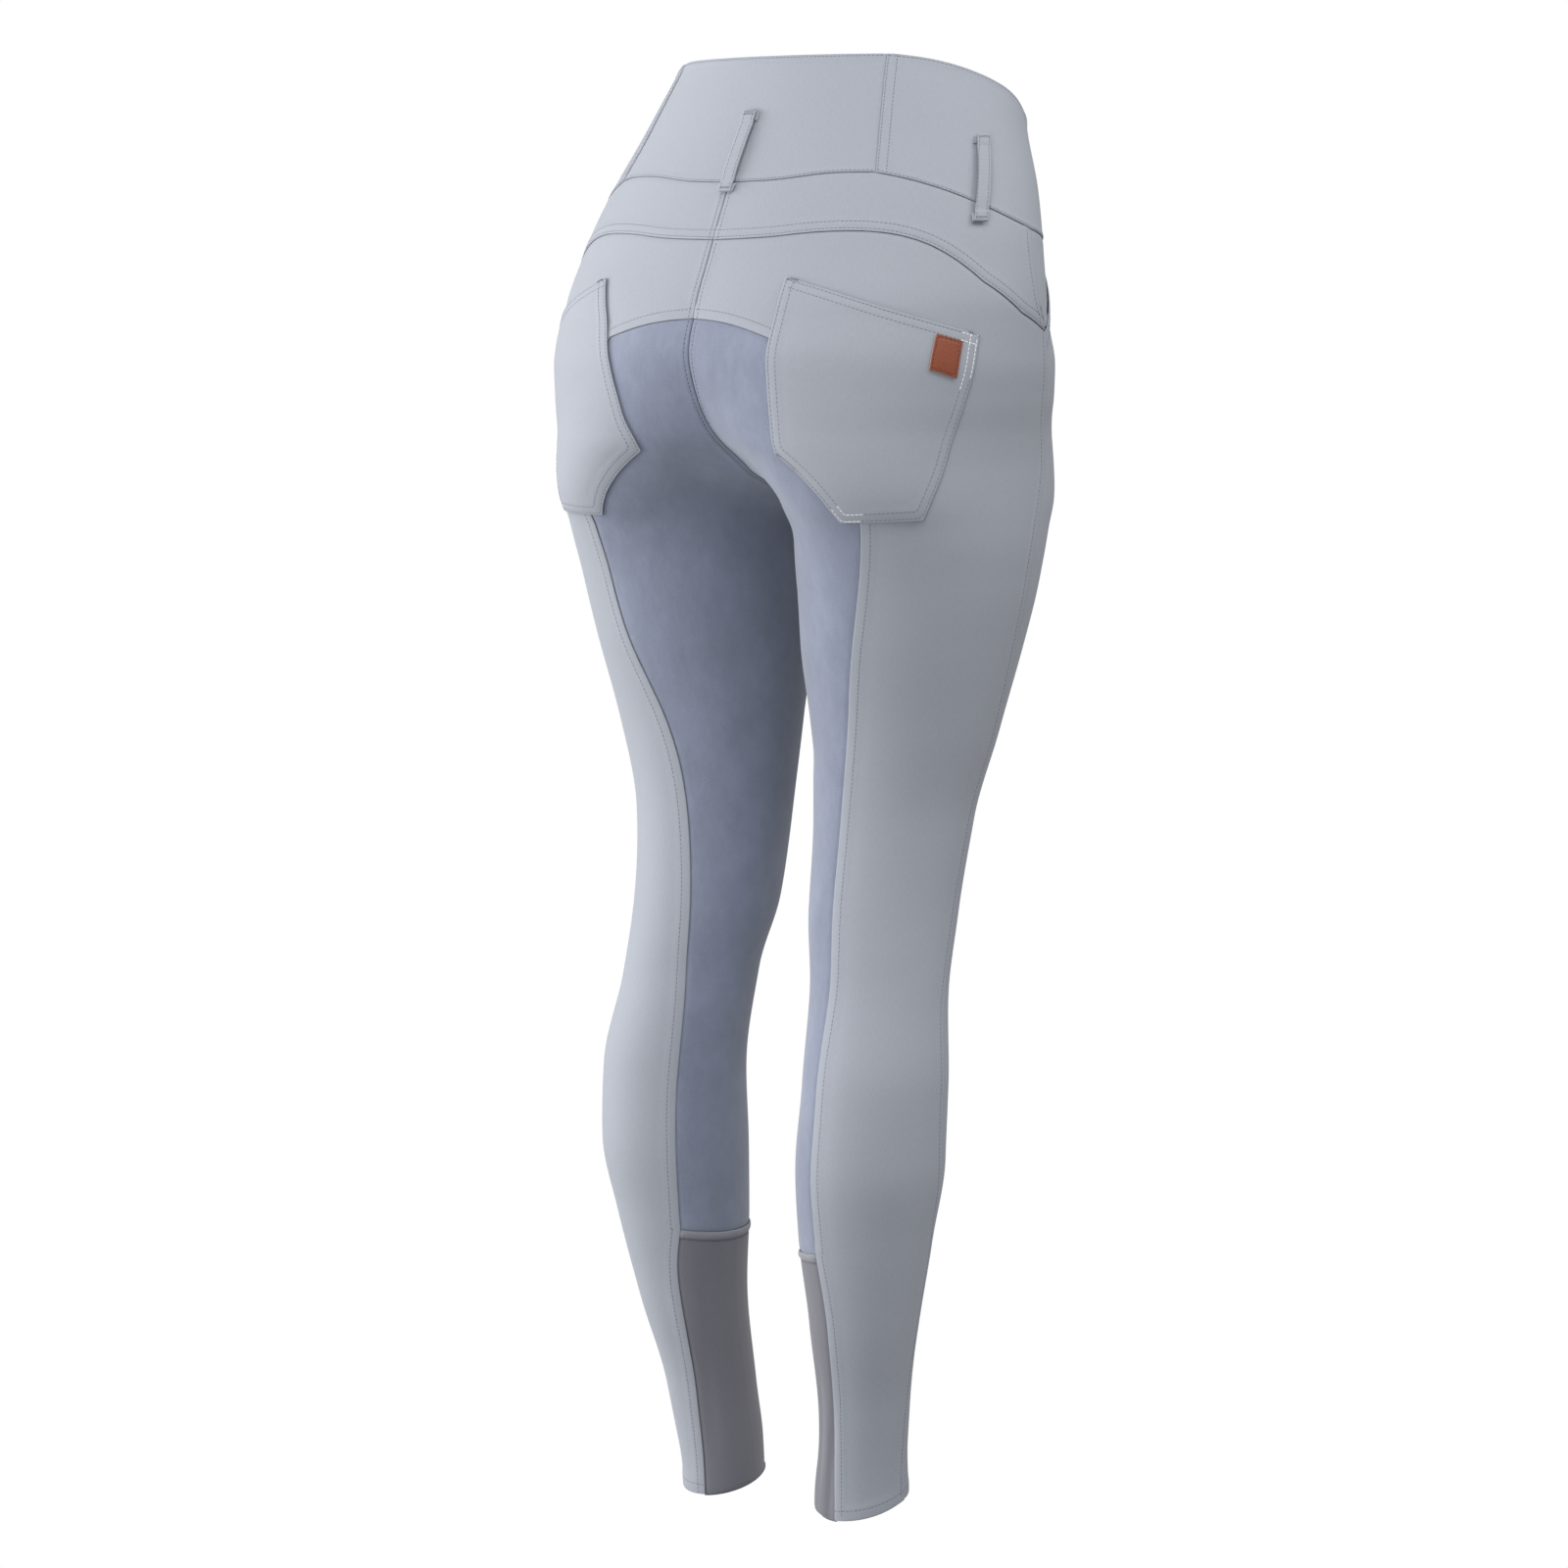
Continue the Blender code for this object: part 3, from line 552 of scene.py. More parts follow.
def crease_depth(points):
    """Depth in mm of all creases at each point."""
    side, turns = side_of(points), turns_of(points)
    radius = leg_radius(points) / MM
    depth = np.zeros(len(points))
    for leg, turn, height, lean, length, width, deep in CREASES:
        gap = (turns - turn + 180) % 360 - 180
        round_leg = np.radians(gap) * radius
        upward = (points[:, 2] - height) / MM
        angle = math.radians(lean)
        across = round_leg * math.cos(angle) + upward * math.sin(angle)
        along = upward * math.cos(angle) - round_leg * math.sin(angle)
        hollow = np.exp(-(across / width) ** 2 - (along / (0.5 * length)) ** 4)
        depth += np.where(side == leg, deep * hollow, 0.0)
    return depth


# %% [markdown]
# ## Cloth shells
#
# Now the pieces. Each fine sheet is raised and sunk by its edges and creases. The cloth's
# thickness comes from a Solidify modifier, inwards. A UV map in metres, measured round the leg
# and upwards, gives the weave its direction.

# %% Make a cloth piece
CLOTH_WALL = 0.85 * MM
PATCH_LIFTS = {"pocket": (1.5, 2.2), "fly": (1.5, 1.8), "label": (3.6, 3.7)}   # mm, edge, middle
PATCH_SLOPE_WIDTH = 16.0
PIECE_TURNS = {"back": 45.0, "front": -50.0, "seat": 150.0, "calf": 165.0, "yoke": 45.0,
               "pocket": 50.0, "hip_pocket": -20.0, "waistband": -25.0, "waistband_back": 90.0}
sheets = {}


def add_uv(mesh, flat):
    """A UV map named cloth, from each point's place on the flat cloth in metres."""
    corners = np.empty(len(mesh.loops), dtype=np.int32)
    mesh.loops.foreach_get("vertex_index", corners)
    mesh.uv_layers.new(name="cloth").data.foreach_set("uv", flat[corners].ravel())


def lay_uv(mesh, points, name):
    middle = PIECE_TURNS.get(family(name), 0.0)
    gap = (turns_of(points) - middle + 180) % 360 - 180
    if name == "waistband_back":
        gap = gap * side_of(points)
    add_uv(mesh, np.column_stack([np.radians(gap) * leg_radius(points), points[:, 2]]))


def snap(bm, place_points):
    points = place_points(places_of(bm.verts))
    for vertex, place in zip(bm.verts, points):
        vertex.co = place
    return points


def sewn_height(kin, runs, points):
    """Height of the cloth in mm at each point, from the sewing of the nearest edges."""
    raised, sunk, patch = np.zeros(len(points)), np.zeros(len(points)), 0.0
    for run in runs:
        away = distance_to(points[run.index], points)
        height = edge_relief(run.kind, run.rows, away)
        if run.kind == "under":
            sunk = np.minimum(sunk, height)
        else:
            raised = np.where(np.abs(height) > np.abs(raised), height, raised)
        if kin in PATCH_LIFTS:
            low, high = PATCH_LIFTS[kin]
            patch = low + (high - low) * smooth_step(away / PATCH_SLOPE_WIDTH)
    return raised + sunk + patch


def finish_sheet(bm, name, base, normals, height, runs, sharp, wall=CLOTH_WALL):
    """Raises the sheet, gives it its thickness and shows it."""
    points = snap(bm, lambda _: base + normals * height[:, None] * MM)
    bmesh.ops.recalc_face_normals(bm, faces=bm.faces)
    if facings([face for face in bm.faces if face.normal.length > 0]).sum() < 0:
        bmesh.ops.reverse_faces(bm, faces=bm.faces)
    tree = BVHTree.FromBMesh(bm)
    mesh = mesh_of(bm, name)
    mesh.shade_smooth()
    lay_uv(mesh, points, name)
    piece = show("cloth_" + name, mesh)
    shell = piece.modifiers.new("cloth", "SOLIDIFY")
    shell.thickness = wall
    shell.offset = -1.0
    sheets[name] = SimpleNamespace(name=name, piece=piece, points=points, normals=normals,
                                   base=base, runs=runs, tree=tree, corners=sharp)
    return sheets[name]


def inward_from(index, points, normals):
    """Direction into the cloth at each point of an edge."""
    return unit(np.cross(normals[index], np.gradient(points[index], axis=0)))


def mark_distance(sheet, kind, layer_name):
    """Stores how many mm each point lies from the edges of one kind."""
    chains = [sheet.base[run.index] for run in sheet.runs if run.kind == kind]
    away = np.min([distance_to(chain, sheet.base) for chain in chains], axis=0)
    layer = sheet.piece.data.attributes.new(layer_name, "FLOAT", "POINT")
    layer.data.foreach_set("value", away.astype(np.float32))


def find_runs(bm, name, known):
    bm.verts.index_update()
    runs = []
    for chain in edge_chains(bm):
        for other, run in split_runs(chain, labels_from(known, chain)):
            kind, rows = EDGES.get((family(name), family(other)), ("under", ()))
            runs.append(SimpleNamespace(other=family(other), kind=kind, rows=rows,
                                        index=[vertex.index for vertex in run]))
    return runs


def gape(runs, points):
    """How far the slanted pocket's mouth stands off the hip, in mm, most at its middle."""
    total = np.zeros(len(points))
    for run in runs:
        if run.kind == "mouth":
            chain = points[run.index]
            top, low = chain[:, 2].max(), chain[:, 2].min()
            share = np.clip((points[:, 2] - low) / (top - low), 0, 1)
            away = distance_to(chain, points)
            total += (MOUTH_GAPE * np.sin(math.pi * share) ** MOUTH_GAPE_POWER
                      * (1 - smooth_step(away / MOUTH_GAPE_WIDTH)))
    return total


def make_sheet(name):
    bm, known = made_finer(outer_skin(name), name)
    snap(bm, laid_on_form)
    cut_strips(bm, add_rings(bm))
    base = snap(bm, laid_on_form)
    normals = form_normals(base)
    runs = find_runs(bm, name, known)
    height = sewn_height(family(name), runs, base) - crease_depth(base) + gape(runs, base)
    for run in runs:
        if run.kind == "under":
            base[run.index] -= inward_from(run.index, base, normals) * TUCK * MM
            height[run.index] = -TUCK_DEPTH
    return finish_sheet(bm, name, base, normals, height, runs, known[3])


PAIRED = ("waistband", "yoke", "back", "front", "seat", "calf", "hip_pocket", "pocket")
PANELS = ["waistband_back", *(kin + side for kin in PAIRED for side in ("_left", "_right")),
          "fly", "label"]
for panel in PANELS:
    made = make_sheet(panel)
    print(panel, len(made.points), "points", [(run.other, run.kind, len(run.index))
                                              for run in made.runs])
# How far each point lies from the rolled band; the stretch cloth uses it to paint the band's
# highlight.
for panel in ("calf_left", "calf_right"):
    mark_distance(sheets[panel], "rolled", "from_band")

# %% [markdown]
# ## Belt loops
#
# A belt loop is a narrow strip, folded double and stitched along both long edges. Its ends are
# folded under, which makes them thicker, and tacked to the band. It isn't laid on the form,
# because it stands off the band between its ends.

# %% Belt loops
STRAP_WALL = 1.4 * MM
STRAP_ROW = 1.5            # mm, rows of stitch from the long edges
STRAP_SEWN_LIFT = 2.6      # mm, from the form to the loop's outside where it is sewn down
STRAP_BOW_SHARE = 0.45     # how much of the solid's bow the stretched loop keeps
FOLD_LENGTH = 6.0          # mm, of the folded ends
FOLD_RISE = 0.8
STRAP_ROUND = 0.35         # mm, the middle stands this much above the edges
TURNED_WIDTH = 9.6         # mm, the end folded back beneath a loop
TURNED_LENGTH = 6.0
TURNED_WALL = 1.1 * MM
TURNED_DROP = 1.3          # mm below the loop's own edge
TURNED_TILT = 0.3
TURNED_CURL = 0.1          # mm, the long edges curl outwards
TURNED_START = 0.45        # share of the slip that is there at the fold itself
TURNED_FACES = 4
TURNED_SLIP = {"loop_back": -1.6, "loop_side_left": -1.6, "loop_side_right": 1.6,
               "loop_front_left": -1.4, "loop_front_right": 1.4}       # mm aside
LOOPS = tuple(TURNED_SLIP)


def make_loop(name):
    bm, known = made_finer(outer_skin(name), name)
    add_rings(bm)
    bmesh.ops.recalc_face_normals(bm, faces=bm.faces)
    bm.normal_update()
    base = places_of(bm.verts)
    normals = np.array([vertex.normal[:] for vertex in bm.verts])
    normals *= np.sign((normals * form_normals(base)).sum(axis=1))[:, None]
    lift = beyond_form(base) / np.linalg.norm(form_slopes(base), axis=1)
    bow = np.maximum(0, lift - STRAP_SEWN_LIFT * MM) * (1 - STRAP_BOW_SHARE)
    base -= form_normals(base) * bow[:, None]
    runs = find_runs(bm, name, known)
    chain = runs[0].index
    away = distance_to(base[chain], base)
    ends = np.minimum(base[:, 2].max() - base[:, 2], base[:, 2] - base[:, 2].min()) / MM
    height = (FOLD_RISE * (1 - smooth_step((ends - FOLD_LENGTH) / 1.2))
              + STRAP_ROUND * smooth_step(away / 1.2)
              - ROW_DIP * np.exp(-((away - STRAP_ROW) / 0.7) ** 2))
    return finish_sheet(bm, name, base, normals, height, runs, known[3], STRAP_WALL)


def loop_corners(sheet):
    """The upper and the lower two corners of a loop, each from the same side to the other."""
    level = np.cross(sheet.normals.mean(axis=0), (0, 0, 1))
    pairs = []
    for sign in (-1, 1):
        pair = sheet.corners[np.argsort(sign * sheet.corners[:, 2])[:2]]
        pairs.append(pair[np.argsort(pair @ level)])
    return pairs


def make_turned_ends(name):
    """The two ends of a loop's strip, folded back beneath it and slipped a little aside."""
    sheet = sheets[name]
    top_two, low_two = loop_corners(sheet)
    bm = bmesh.new()
    for pair, other in ((top_two, low_two), (low_two, top_two)):
        across = unit(pair[1] - pair[0])
        down = unit(other.mean(axis=0) - pair.mean(axis=0))
        outward = np.cross(across, down)
        outward *= np.sign(outward @ form_normals(pair[:1])[0])
        grid = bmesh.ops.create_grid(bm, x_segments=TURNED_FACES, y_segments=TURNED_FACES, size=0.5)
        for vertex in grid["verts"]:
            u, v = vertex.co.x, vertex.co.y + 0.5
            slip = TURNED_SLIP[name] * (TURNED_START + (1 - TURNED_START) * v)
            lift = TURNED_DROP + TURNED_TILT * v - (TURNED_CURL if abs(u) >= 0.5 else 0)
            place = (pair.mean(axis=0) + across * (u * TURNED_WIDTH + slip) * MM
                     + down * v * TURNED_LENGTH * MM - outward * lift * MM)
            vertex.co = place
    bmesh.ops.recalc_face_normals(bm, faces=bm.faces)
    bmesh.ops.solidify(bm, geom=list(bm.faces), thickness=TURNED_WALL)
    mesh = mesh_of(bm, name + "_turned_ends")
    mesh.shade_smooth()
    piece = show("turned_ends_" + name, mesh)
    edge = piece.modifiers.new("soft_edge", "BEVEL")
    edge.width = 0.25 * MM
    edge.segments = 2
    return piece


turned_ends = {}
for loop_name in LOOPS:
    made = make_loop(loop_name)
    turned_ends[loop_name] = make_turned_ends(loop_name)
    print(loop_name, len(made.points), "points")

# %% [markdown]
# ## Topstitch
#
# A row of topstitch is the edge's chain of points moved inwards and laid back on the cloth.
# Where it would come nearer to an edge, as beyond a corner, it is left out. The stitches are
# short rounded threads, copied along the row and joined into one mesh for each piece.

# %% Rows of stitches
STITCH_PITCH = 2.8 * MM
STITCH_SIZE = (1.05 * MM, 0.24 * MM, 0.17 * MM)     # half length, half width, half height
STITCH_UP = 0.05 * MM
ROW_BREAK = 9.0 * MM
ROW_SHARE = 0.96           # of its distance from the edge that a row has to keep
ROW_OVERRUN = 0.4          # mm, how far a pocket's row may run over the next one
DIAGONAL_REACH = 11.0 * MM
LIGHT_STITCH = 1.25        # the near-white stitches, which carry the painted highlight, are a little thicker


def row_lines(sheet, run, distance, limits):
    """The edge moved inwards: a list of chains of points."""
    chain = sheet.points[run.index]
    moved = chain + inward_from(run.index, sheet.points, sheet.normals) * distance * MM
    clear = distance_to(limits, moved) > ROW_SHARE * distance
    moved = moved[clear]
    if len(moved) < 3:
        return []
    for _ in range(2):
        moved[1:-1] = (moved[:-2] + 2 * moved[1:-1] + moved[2:]) / 4
    gaps = np.linalg.norm(np.diff(moved, axis=0), axis=1)
    return [line for line in np.split(moved, np.where(gaps > ROW_BREAK)[0] + 1) if len(line) > 2]


def along_line(line, pitch):
    """Places at even steps along a chain of points."""
    lengths = np.concatenate([[0], np.cumsum(np.linalg.norm(np.diff(line, axis=0), axis=1))])
    wanted = np.arange(0.5 * pitch, lengths[-1], pitch)
    return np.column_stack([np.interp(wanted, lengths, line[:, i]) for i in range(3)])


def on_cloth(sheet, places):
    """The places moved onto the sheet, and the cloth's direction there."""
    found = [sheet.tree.find_nearest(place) for place in places]
    return (np.array([hit[0][:] for hit in found]), np.array([hit[1][:] for hit in found]))


def stitch_frames(sheet, line, pitch):
    """Middle, direction and outward direction of each stitch on a line."""
    places, normals = on_cloth(sheet, along_line(line, pitch))
    if len(places) < 3:
        return np.empty((0, 3, 3))
    return np.stack([places, unit(np.gradient(places, axis=0)), normals], axis=1)


def stitch_shape():
    bm = bmesh.new()
    bmesh.ops.create_uvsphere(bm, u_segments=6, v_segments=4, radius=1.0,
                              matrix=Matrix.Rotation(math.radians(90), 4, "Y"))
    bmesh.ops.scale(bm, vec=STITCH_SIZE, verts=bm.verts)
    return bm


def joined_copies(name, shape, frames, scale=1.0):
    """One mesh of copies of a shape: its X along each direction, its Z outwards."""
    corners = places_of(shape.verts) * scale
    faces = [[vertex.index for vertex in face.verts] for face in shape.faces]
    middles, directions, outwards = frames[:, 0], frames[:, 1], frames[:, 2]
    across = unit(np.cross(outwards, directions))
    outwards = np.cross(directions, across)
    bases = np.stack([directions, across, outwards], axis=1)
    points = np.einsum("vi,nij->nvj", corners, bases) + (middles + outwards * STITCH_UP)[:, None]
    all_faces = [[i + copy * len(corners) for i in face]
                 for copy in range(len(frames)) for face in faces]
    mesh = bpy.data.meshes.new(name)
    mesh.from_pydata(points.reshape(-1, 3), [], all_faces)
    mesh.shade_smooth()
    return show(name, mesh)


def split_mouth(sheet):
    """A pocket's edge in two runs: the hem at its mouth, and the sewn edge round the rest."""
    index = sheet.runs[0].index[:-1]
    points = sheet.points[index]
    upper = sheet.corners[np.argsort(-sheet.corners[:, 2])]
    inner = upper[0]
    outer = max(upper[1:4], key=lambda place: abs(place[0]))
    ends = sorted(int(np.argmin(np.linalg.norm(points - place, axis=1)))
                  for place in (inner, outer))
    parts = [index[ends[0]:ends[1] + 1], index[ends[1]:] + index[:ends[0] + 1]]
    return [SimpleNamespace(kind="over", rows=sheet.runs[0].rows, index=part) for part in parts]


def on_diagonal(sheet, places):
    """Which places lie beside a pocket's lower inner edge, where the thread catches the light."""
    by_height = sheet.corners[np.argsort(sheet.corners[:, 2])]
    inner_low = by_height[2]
    bottom = min(by_height[:2], key=lambda place: abs(place[0]))
    along = bottom - inner_low
    share = ((places - inner_low) @ along) / (along @ along)
    away = np.linalg.norm(places - inner_low - share[:, None] * along, axis=1)
    return (share > 0.0) & (share < 1.0) & (away < DIAGONAL_REACH)


def rows_of(sheet):
    """Frames of all the stitches of a sheet's rows."""
    frames = [np.empty((0, 3, 3))]
    is_pocket = family(sheet.name) == "pocket"
    runs = split_mouth(sheet) if is_pocket else sheet.runs
    for run in runs:
        for row in run.rows:
            beside = [run] if is_pocket else [other for other in runs if row in other.rows
                                              and other.kind == run.kind]
            limits = np.vstack([sheet.points[other.index] for other in beside])
            for line in row_lines(sheet, run, row, limits):
                if is_pocket:
                    others = np.vstack([sheet.points[other.index] for other in runs
                                        if other is not run])
                    line = line[distance_to(others, line) > min(run.rows) - ROW_OVERRUN]
                if len(line) > 2:
                    frames.append(stitch_frames(sheet, line, STITCH_PITCH))
    return np.concatenate(frames)


stitched = {}
stitch = stitch_shape()
for panel in PANELS:
    frames = rows_of(sheets[panel])
    # On the right pocket's lower inner edge the stitches get the near-white thread, a painted
    # highlight where the thread catches the light.
    if panel == "pocket_right":
        light = on_diagonal(sheets[panel], frames[:, 0])
        stitched[panel + "_light"] = joined_copies("light_stitches_" + panel, stitch,
                                                   frames[light], LIGHT_STITCH)
        frames = frames[~light]
    if len(frames):
        stitched[panel] = joined_copies("stitches_" + panel, stitch, frames)
        print("stitches on", panel, len(frames))

# %% [markdown]
# ## Rows on the loops, and bar tacks
#
# A bar tack is a short, dense zigzag that holds a place under strain: the ends of a belt loop
# and the upper corners of a pocket. Its stitches lie across its length and slant by turns.

# %% Loops and tacks
TACK_WIDTH = 1.25      # as a share of a plain stitch's length
TACK_PITCH = 0.95 * MM
TACK_SLANT = math.radians(24)
POCKET_TACK = (1.2 * MM, 10.0 * MM)      # from a pocket's corner along its mouth
POCKET_TACK_DROP = 1.6 * MM
LOOP_TACK_PLACE = 2.4 * MM
LOOP_TACK_INSET = 0.8 * MM
LOOP_ROW_SPAN = np.linspace(0.03, 0.97, 12)[:, None]     # shares of a loop's length
MOUTH_TACK = (1.5 * MM, -3.5 * MM)       # above and below the lower end of the pocket's mouth


def tack_frames(sheet, start, end):
    """Zigzag stitches between two places on a sheet."""
    count = max(3, round(float(np.linalg.norm(end - start)) / TACK_PITCH))
    shares = (np.arange(count) + 0.5) / count
    places, normals = on_cloth(sheet, start + (end - start) * shares[:, None])
    along = unit(end - start)
    across = np.cross(normals, along)
    slant = np.where(np.arange(count) % 2 == 0, TACK_SLANT, -TACK_SLANT)[:, None]
    directions = across * np.cos(slant) + along * np.sin(slant)
    return np.stack([places, directions, normals], axis=1)


def loop_rows(sheet):
    frames = []
    top_two, low_two = loop_corners(sheet)
    across = unit(top_two[1] - top_two[0])
    for start, end, inward in zip(top_two, low_two, (across, -across)):
        line = start + (end - start) * LOOP_ROW_SPAN
        frames.append(stitch_frames(sheet, line + inward * STRAP_ROW * MM, STITCH_PITCH))
    for pair, other in ((top_two, low_two), (low_two, top_two)):
        down = unit(other[0] - pair[0]) * LOOP_TACK_PLACE
        inset = across * LOOP_TACK_INSET
        frames.append(tack_frames(sheet, pair[0] + down + inset, pair[1] + down - inset))
    return np.concatenate(frames)


for loop_name in LOOPS:
    stitched[loop_name] = joined_copies("stitches_" + loop_name, stitch,
                                        loop_rows(sheets[loop_name]))

for panel in ("pocket_left", "pocket_right"):
    sheet = sheets[panel]
    corners = sheet.corners[np.argsort(-sheet.corners[:, 2])[:2]] - (0, 0, POCKET_TACK_DROP)
    along = unit(corners[1] - corners[0])
    tacks = [tack_frames(sheet, corner + way * POCKET_TACK[0], corner + way * POCKET_TACK[1])
             for corner, way in zip(corners, (along, -along))]
    stitched[panel + "_tacks"] = joined_copies("tacks_" + panel, stitch, np.concatenate(tacks),
                                               TACK_WIDTH)

for panel in ("front_left", "front_right"):
    sheet = sheets[panel]
    mouth = next(run for run in sheet.runs if run.kind == "mouth")
    chain = sheet.points[mouth.index]
    low = chain[np.argmin(chain[:, 2])]
    start, end = (low + (0, 0, rise) for rise in MOUTH_TACK)
    stitched[panel + "_light"] = joined_copies("light_tack_" + panel, stitch,
                                               tack_frames(sheet, start, end))

# %% [markdown]
# ## Building blocks of the finishes
#
# The woven cloth, the suede and the stretch cloth share fine fibres, and the first two broad soft
# patches too. Both come from one node group that gives a number round 1, so a finish multiplies
# its colour by it.

# %% Node groups
def add_node(tree, kind, inputs=None, **settings):
    """Adds a node. Each input is a value, or another node's output to link."""
    made = tree.nodes.new(kind)
    for key, value in settings.items():
        setattr(made, key, value)
    for key, value in (inputs or {}).items():
        if isinstance(value, bpy.types.NodeSocket):
            tree.links.new(value, made.inputs[key])
        else:
            made.inputs[key].default_value = value
    return made


def maths(tree, operation, a, b, c=0.0):
    return add_node(tree, "ShaderNodeMath", {0: a, 1: b, 2: c}, operation=operation).outputs[0]


def fibre_group():
    """Fine fibres: noise stretched along one direction, as a number round 1."""
    tree = bpy.data.node_groups.new("fibres", "ShaderNodeTree")
    for way, keys in (("INPUT", ("Vector", "Across", "Along", "Amount")),
                      ("OUTPUT", ("Factor", "Height"))):
        for key in keys:
            kind = "NodeSocketVector" if key == "Vector" else "NodeSocketFloat"
            tree.interface.new_socket(name=key, in_out=way, socket_type=kind)
    given, result = tree.nodes.new("NodeGroupInput"), tree.nodes.new("NodeGroupOutput")
    size = add_node(tree, "ShaderNodeCombineXYZ", {0: given.outputs["Across"],
                                                   1: given.outputs["Along"],
                                                   2: given.outputs["Along"]})
    stretched = add_node(tree, "ShaderNodeVectorMath",
                         {0: given.outputs["Vector"], 1: size.outputs[0]}, operation="MULTIPLY")
    noise = add_node(tree, "ShaderNodeTexNoise",
                     {"Vector": stretched.outputs[0], "Scale": 1.0, "Detail": 1.5})
    centred = maths(tree, "SUBTRACT", noise.outputs["Fac"], 0.5)
    factor = maths(tree, "MULTIPLY_ADD", centred, given.outputs["Amount"], 1.0)
    tree.links.new(factor, result.inputs["Factor"])
    tree.links.new(noise.outputs["Fac"], result.inputs["Height"])
    return tree


FIBRES = fibre_group()


def fibres(tree, vector, across, along, amount):
    made = add_node(tree, "ShaderNodeGroup", {"Vector": vector, "Across": across, "Along": along,
                                              "Amount": amount}, node_tree=FIBRES)
    return made.outputs["Factor"], made.outputs["Height"]


def tinted(tree, colour, *factors):
    """A colour times one or more numbers."""
    total = factors[0]
    for factor in factors[1:]:
        total = maths(tree, "MULTIPLY", total, factor)
    base = add_node(tree, "ShaderNodeRGB")
    base.outputs[0].default_value = (*colour, 1.0)
    return add_node(tree, "ShaderNodeVectorMath", {0: base.outputs[0], "Scale": total},
                    operation="SCALE").outputs[0]


def new_material(name, colour, roughness, sheen=0.0):
    material = bpy.data.materials.new(name)
    material.use_nodes = True
    material.diffuse_color = (*colour, 1.0)
    shader = material.node_tree.nodes["Principled BSDF"]
    shader.inputs["Base Color"].default_value = (*colour, 1.0)
    shader.inputs["Roughness"].default_value = roughness
    shader.inputs["Sheen Weight"].default_value = sheen
    return material, material.node_tree, shader


def roughen(tree, shader, height, strength, distance):
    bump = add_node(tree, "ShaderNodeBump", {"Height": height, "Strength": strength,
                                             "Distance": distance})
    tree.links.new(bump.outputs[0], shader.inputs["Normal"])


def by_cloth(tree):
    return add_node(tree, "ShaderNodeUVMap", uv_map="cloth").outputs[0]


def by_object(tree):
    return add_node(tree, "ShaderNodeTexCoord").outputs["Object"]


def fibrous(name, colour, roughness, sheen, where, layers, bump):
    """A finish whose colour is multiplied by layers of fibres. The first one roughens it too."""
    material, tree, shader = new_material(name, colour, roughness, sheen)
    vector = where(tree)
    made = [fibres(tree, vector, *layer) for layer in layers]
    factors = [factor for factor, _ in made]
    tree.links.new(tinted(tree, colour, *factors), shader.inputs["Base Color"])
    roughen(tree, shader, made[0][1], *bump)
    return material


# %% [markdown]
# ## Light cloth and suede
#
# The light cloth is a smooth, dense stretch weave with a faint upright rib, made with the
# cloth's own UV map. The nap of the suede lies this way and that, so it has broad lighter and
# darker patches over a fine grain. Each layer is (across, along, amount).

# %% Light cloth and suede
light_cloth = fibrous("light_cloth", (0.285, 0.305, 0.348), 0.8, 0.12, by_cloth,
                      ((900.0, 260.0, 0.12),        # rib
                       (1100.0, 1100.0, 0.11),      # speckle
                       (14.0, 14.0, 0.04)),         # broad patches
                      (0.35, 0.0002))
suede = fibrous("suede", (0.186, 0.210, 0.282), 0.95, 0.35, by_object,
                ((1300.0, 1300.0, 0.30),            # grain
                 (260.0, 110.0, 0.20),              # nap
                 (75.0, 38.0, 0.22),                # brushed
                 (24.0, 13.0, 0.36)),               # patches
                (0.5, 0.0002))

# %% [markdown]
# ## Stretch cloth, leather, button and thread

# %% Other finishes
STRETCH_CLOTH = (0.138, 0.137, 0.164)
# The rolled band is coloured lighter than its panel: a painted highlight for the light its
# upward-facing roll catches.
STRETCH_BAND_PAINTED_HIGHLIGHT = (0.205, 0.205, 0.238)
BAND_HIGHLIGHT_EDGE = (4.4, 5.2)      # mm from the seam, where the band's painted highlight ends
stretch_cloth, tree, shader = new_material("stretch_cloth", STRETCH_CLOTH, 0.75, 0.3)
knit, knit_height = fibres(tree, by_cloth(tree), 900.0, 300.0, 0.12)
from_band = add_node(tree, "ShaderNodeAttribute", attribute_name="from_band").outputs["Fac"]
# Near the rolled edge the panel's colour gives way to the band's painted highlight.
band_highlight_mask = add_node(tree, "ShaderNodeMapRange",
                   {"Value": from_band, "From Min": BAND_HIGHLIGHT_EDGE[0], "From Max": BAND_HIGHLIGHT_EDGE[1],
                    "To Min": 1.0, "To Max": 0.0}, interpolation_type="SMOOTHSTEP").outputs[0]
panel_colour = tinted(tree, STRETCH_CLOTH, knit)
band_highlight_colour = tinted(tree, STRETCH_BAND_PAINTED_HIGHLIGHT, knit)
chosen = add_node(tree, "ShaderNodeMix", {"Factor": band_highlight_mask, 6: panel_colour, 7: band_highlight_colour},
                  data_type="RGBA").outputs[2]
tree.links.new(chosen, shader.inputs["Base Color"])
roughen(tree, shader, knit_height, 0.3, 0.0002)

leather = fibrous("leather", (0.215, 0.052, 0.022), 0.55, 0.0, by_object,
                  ((700.0, 700.0, 0.5),), (0.6, 0.0003))
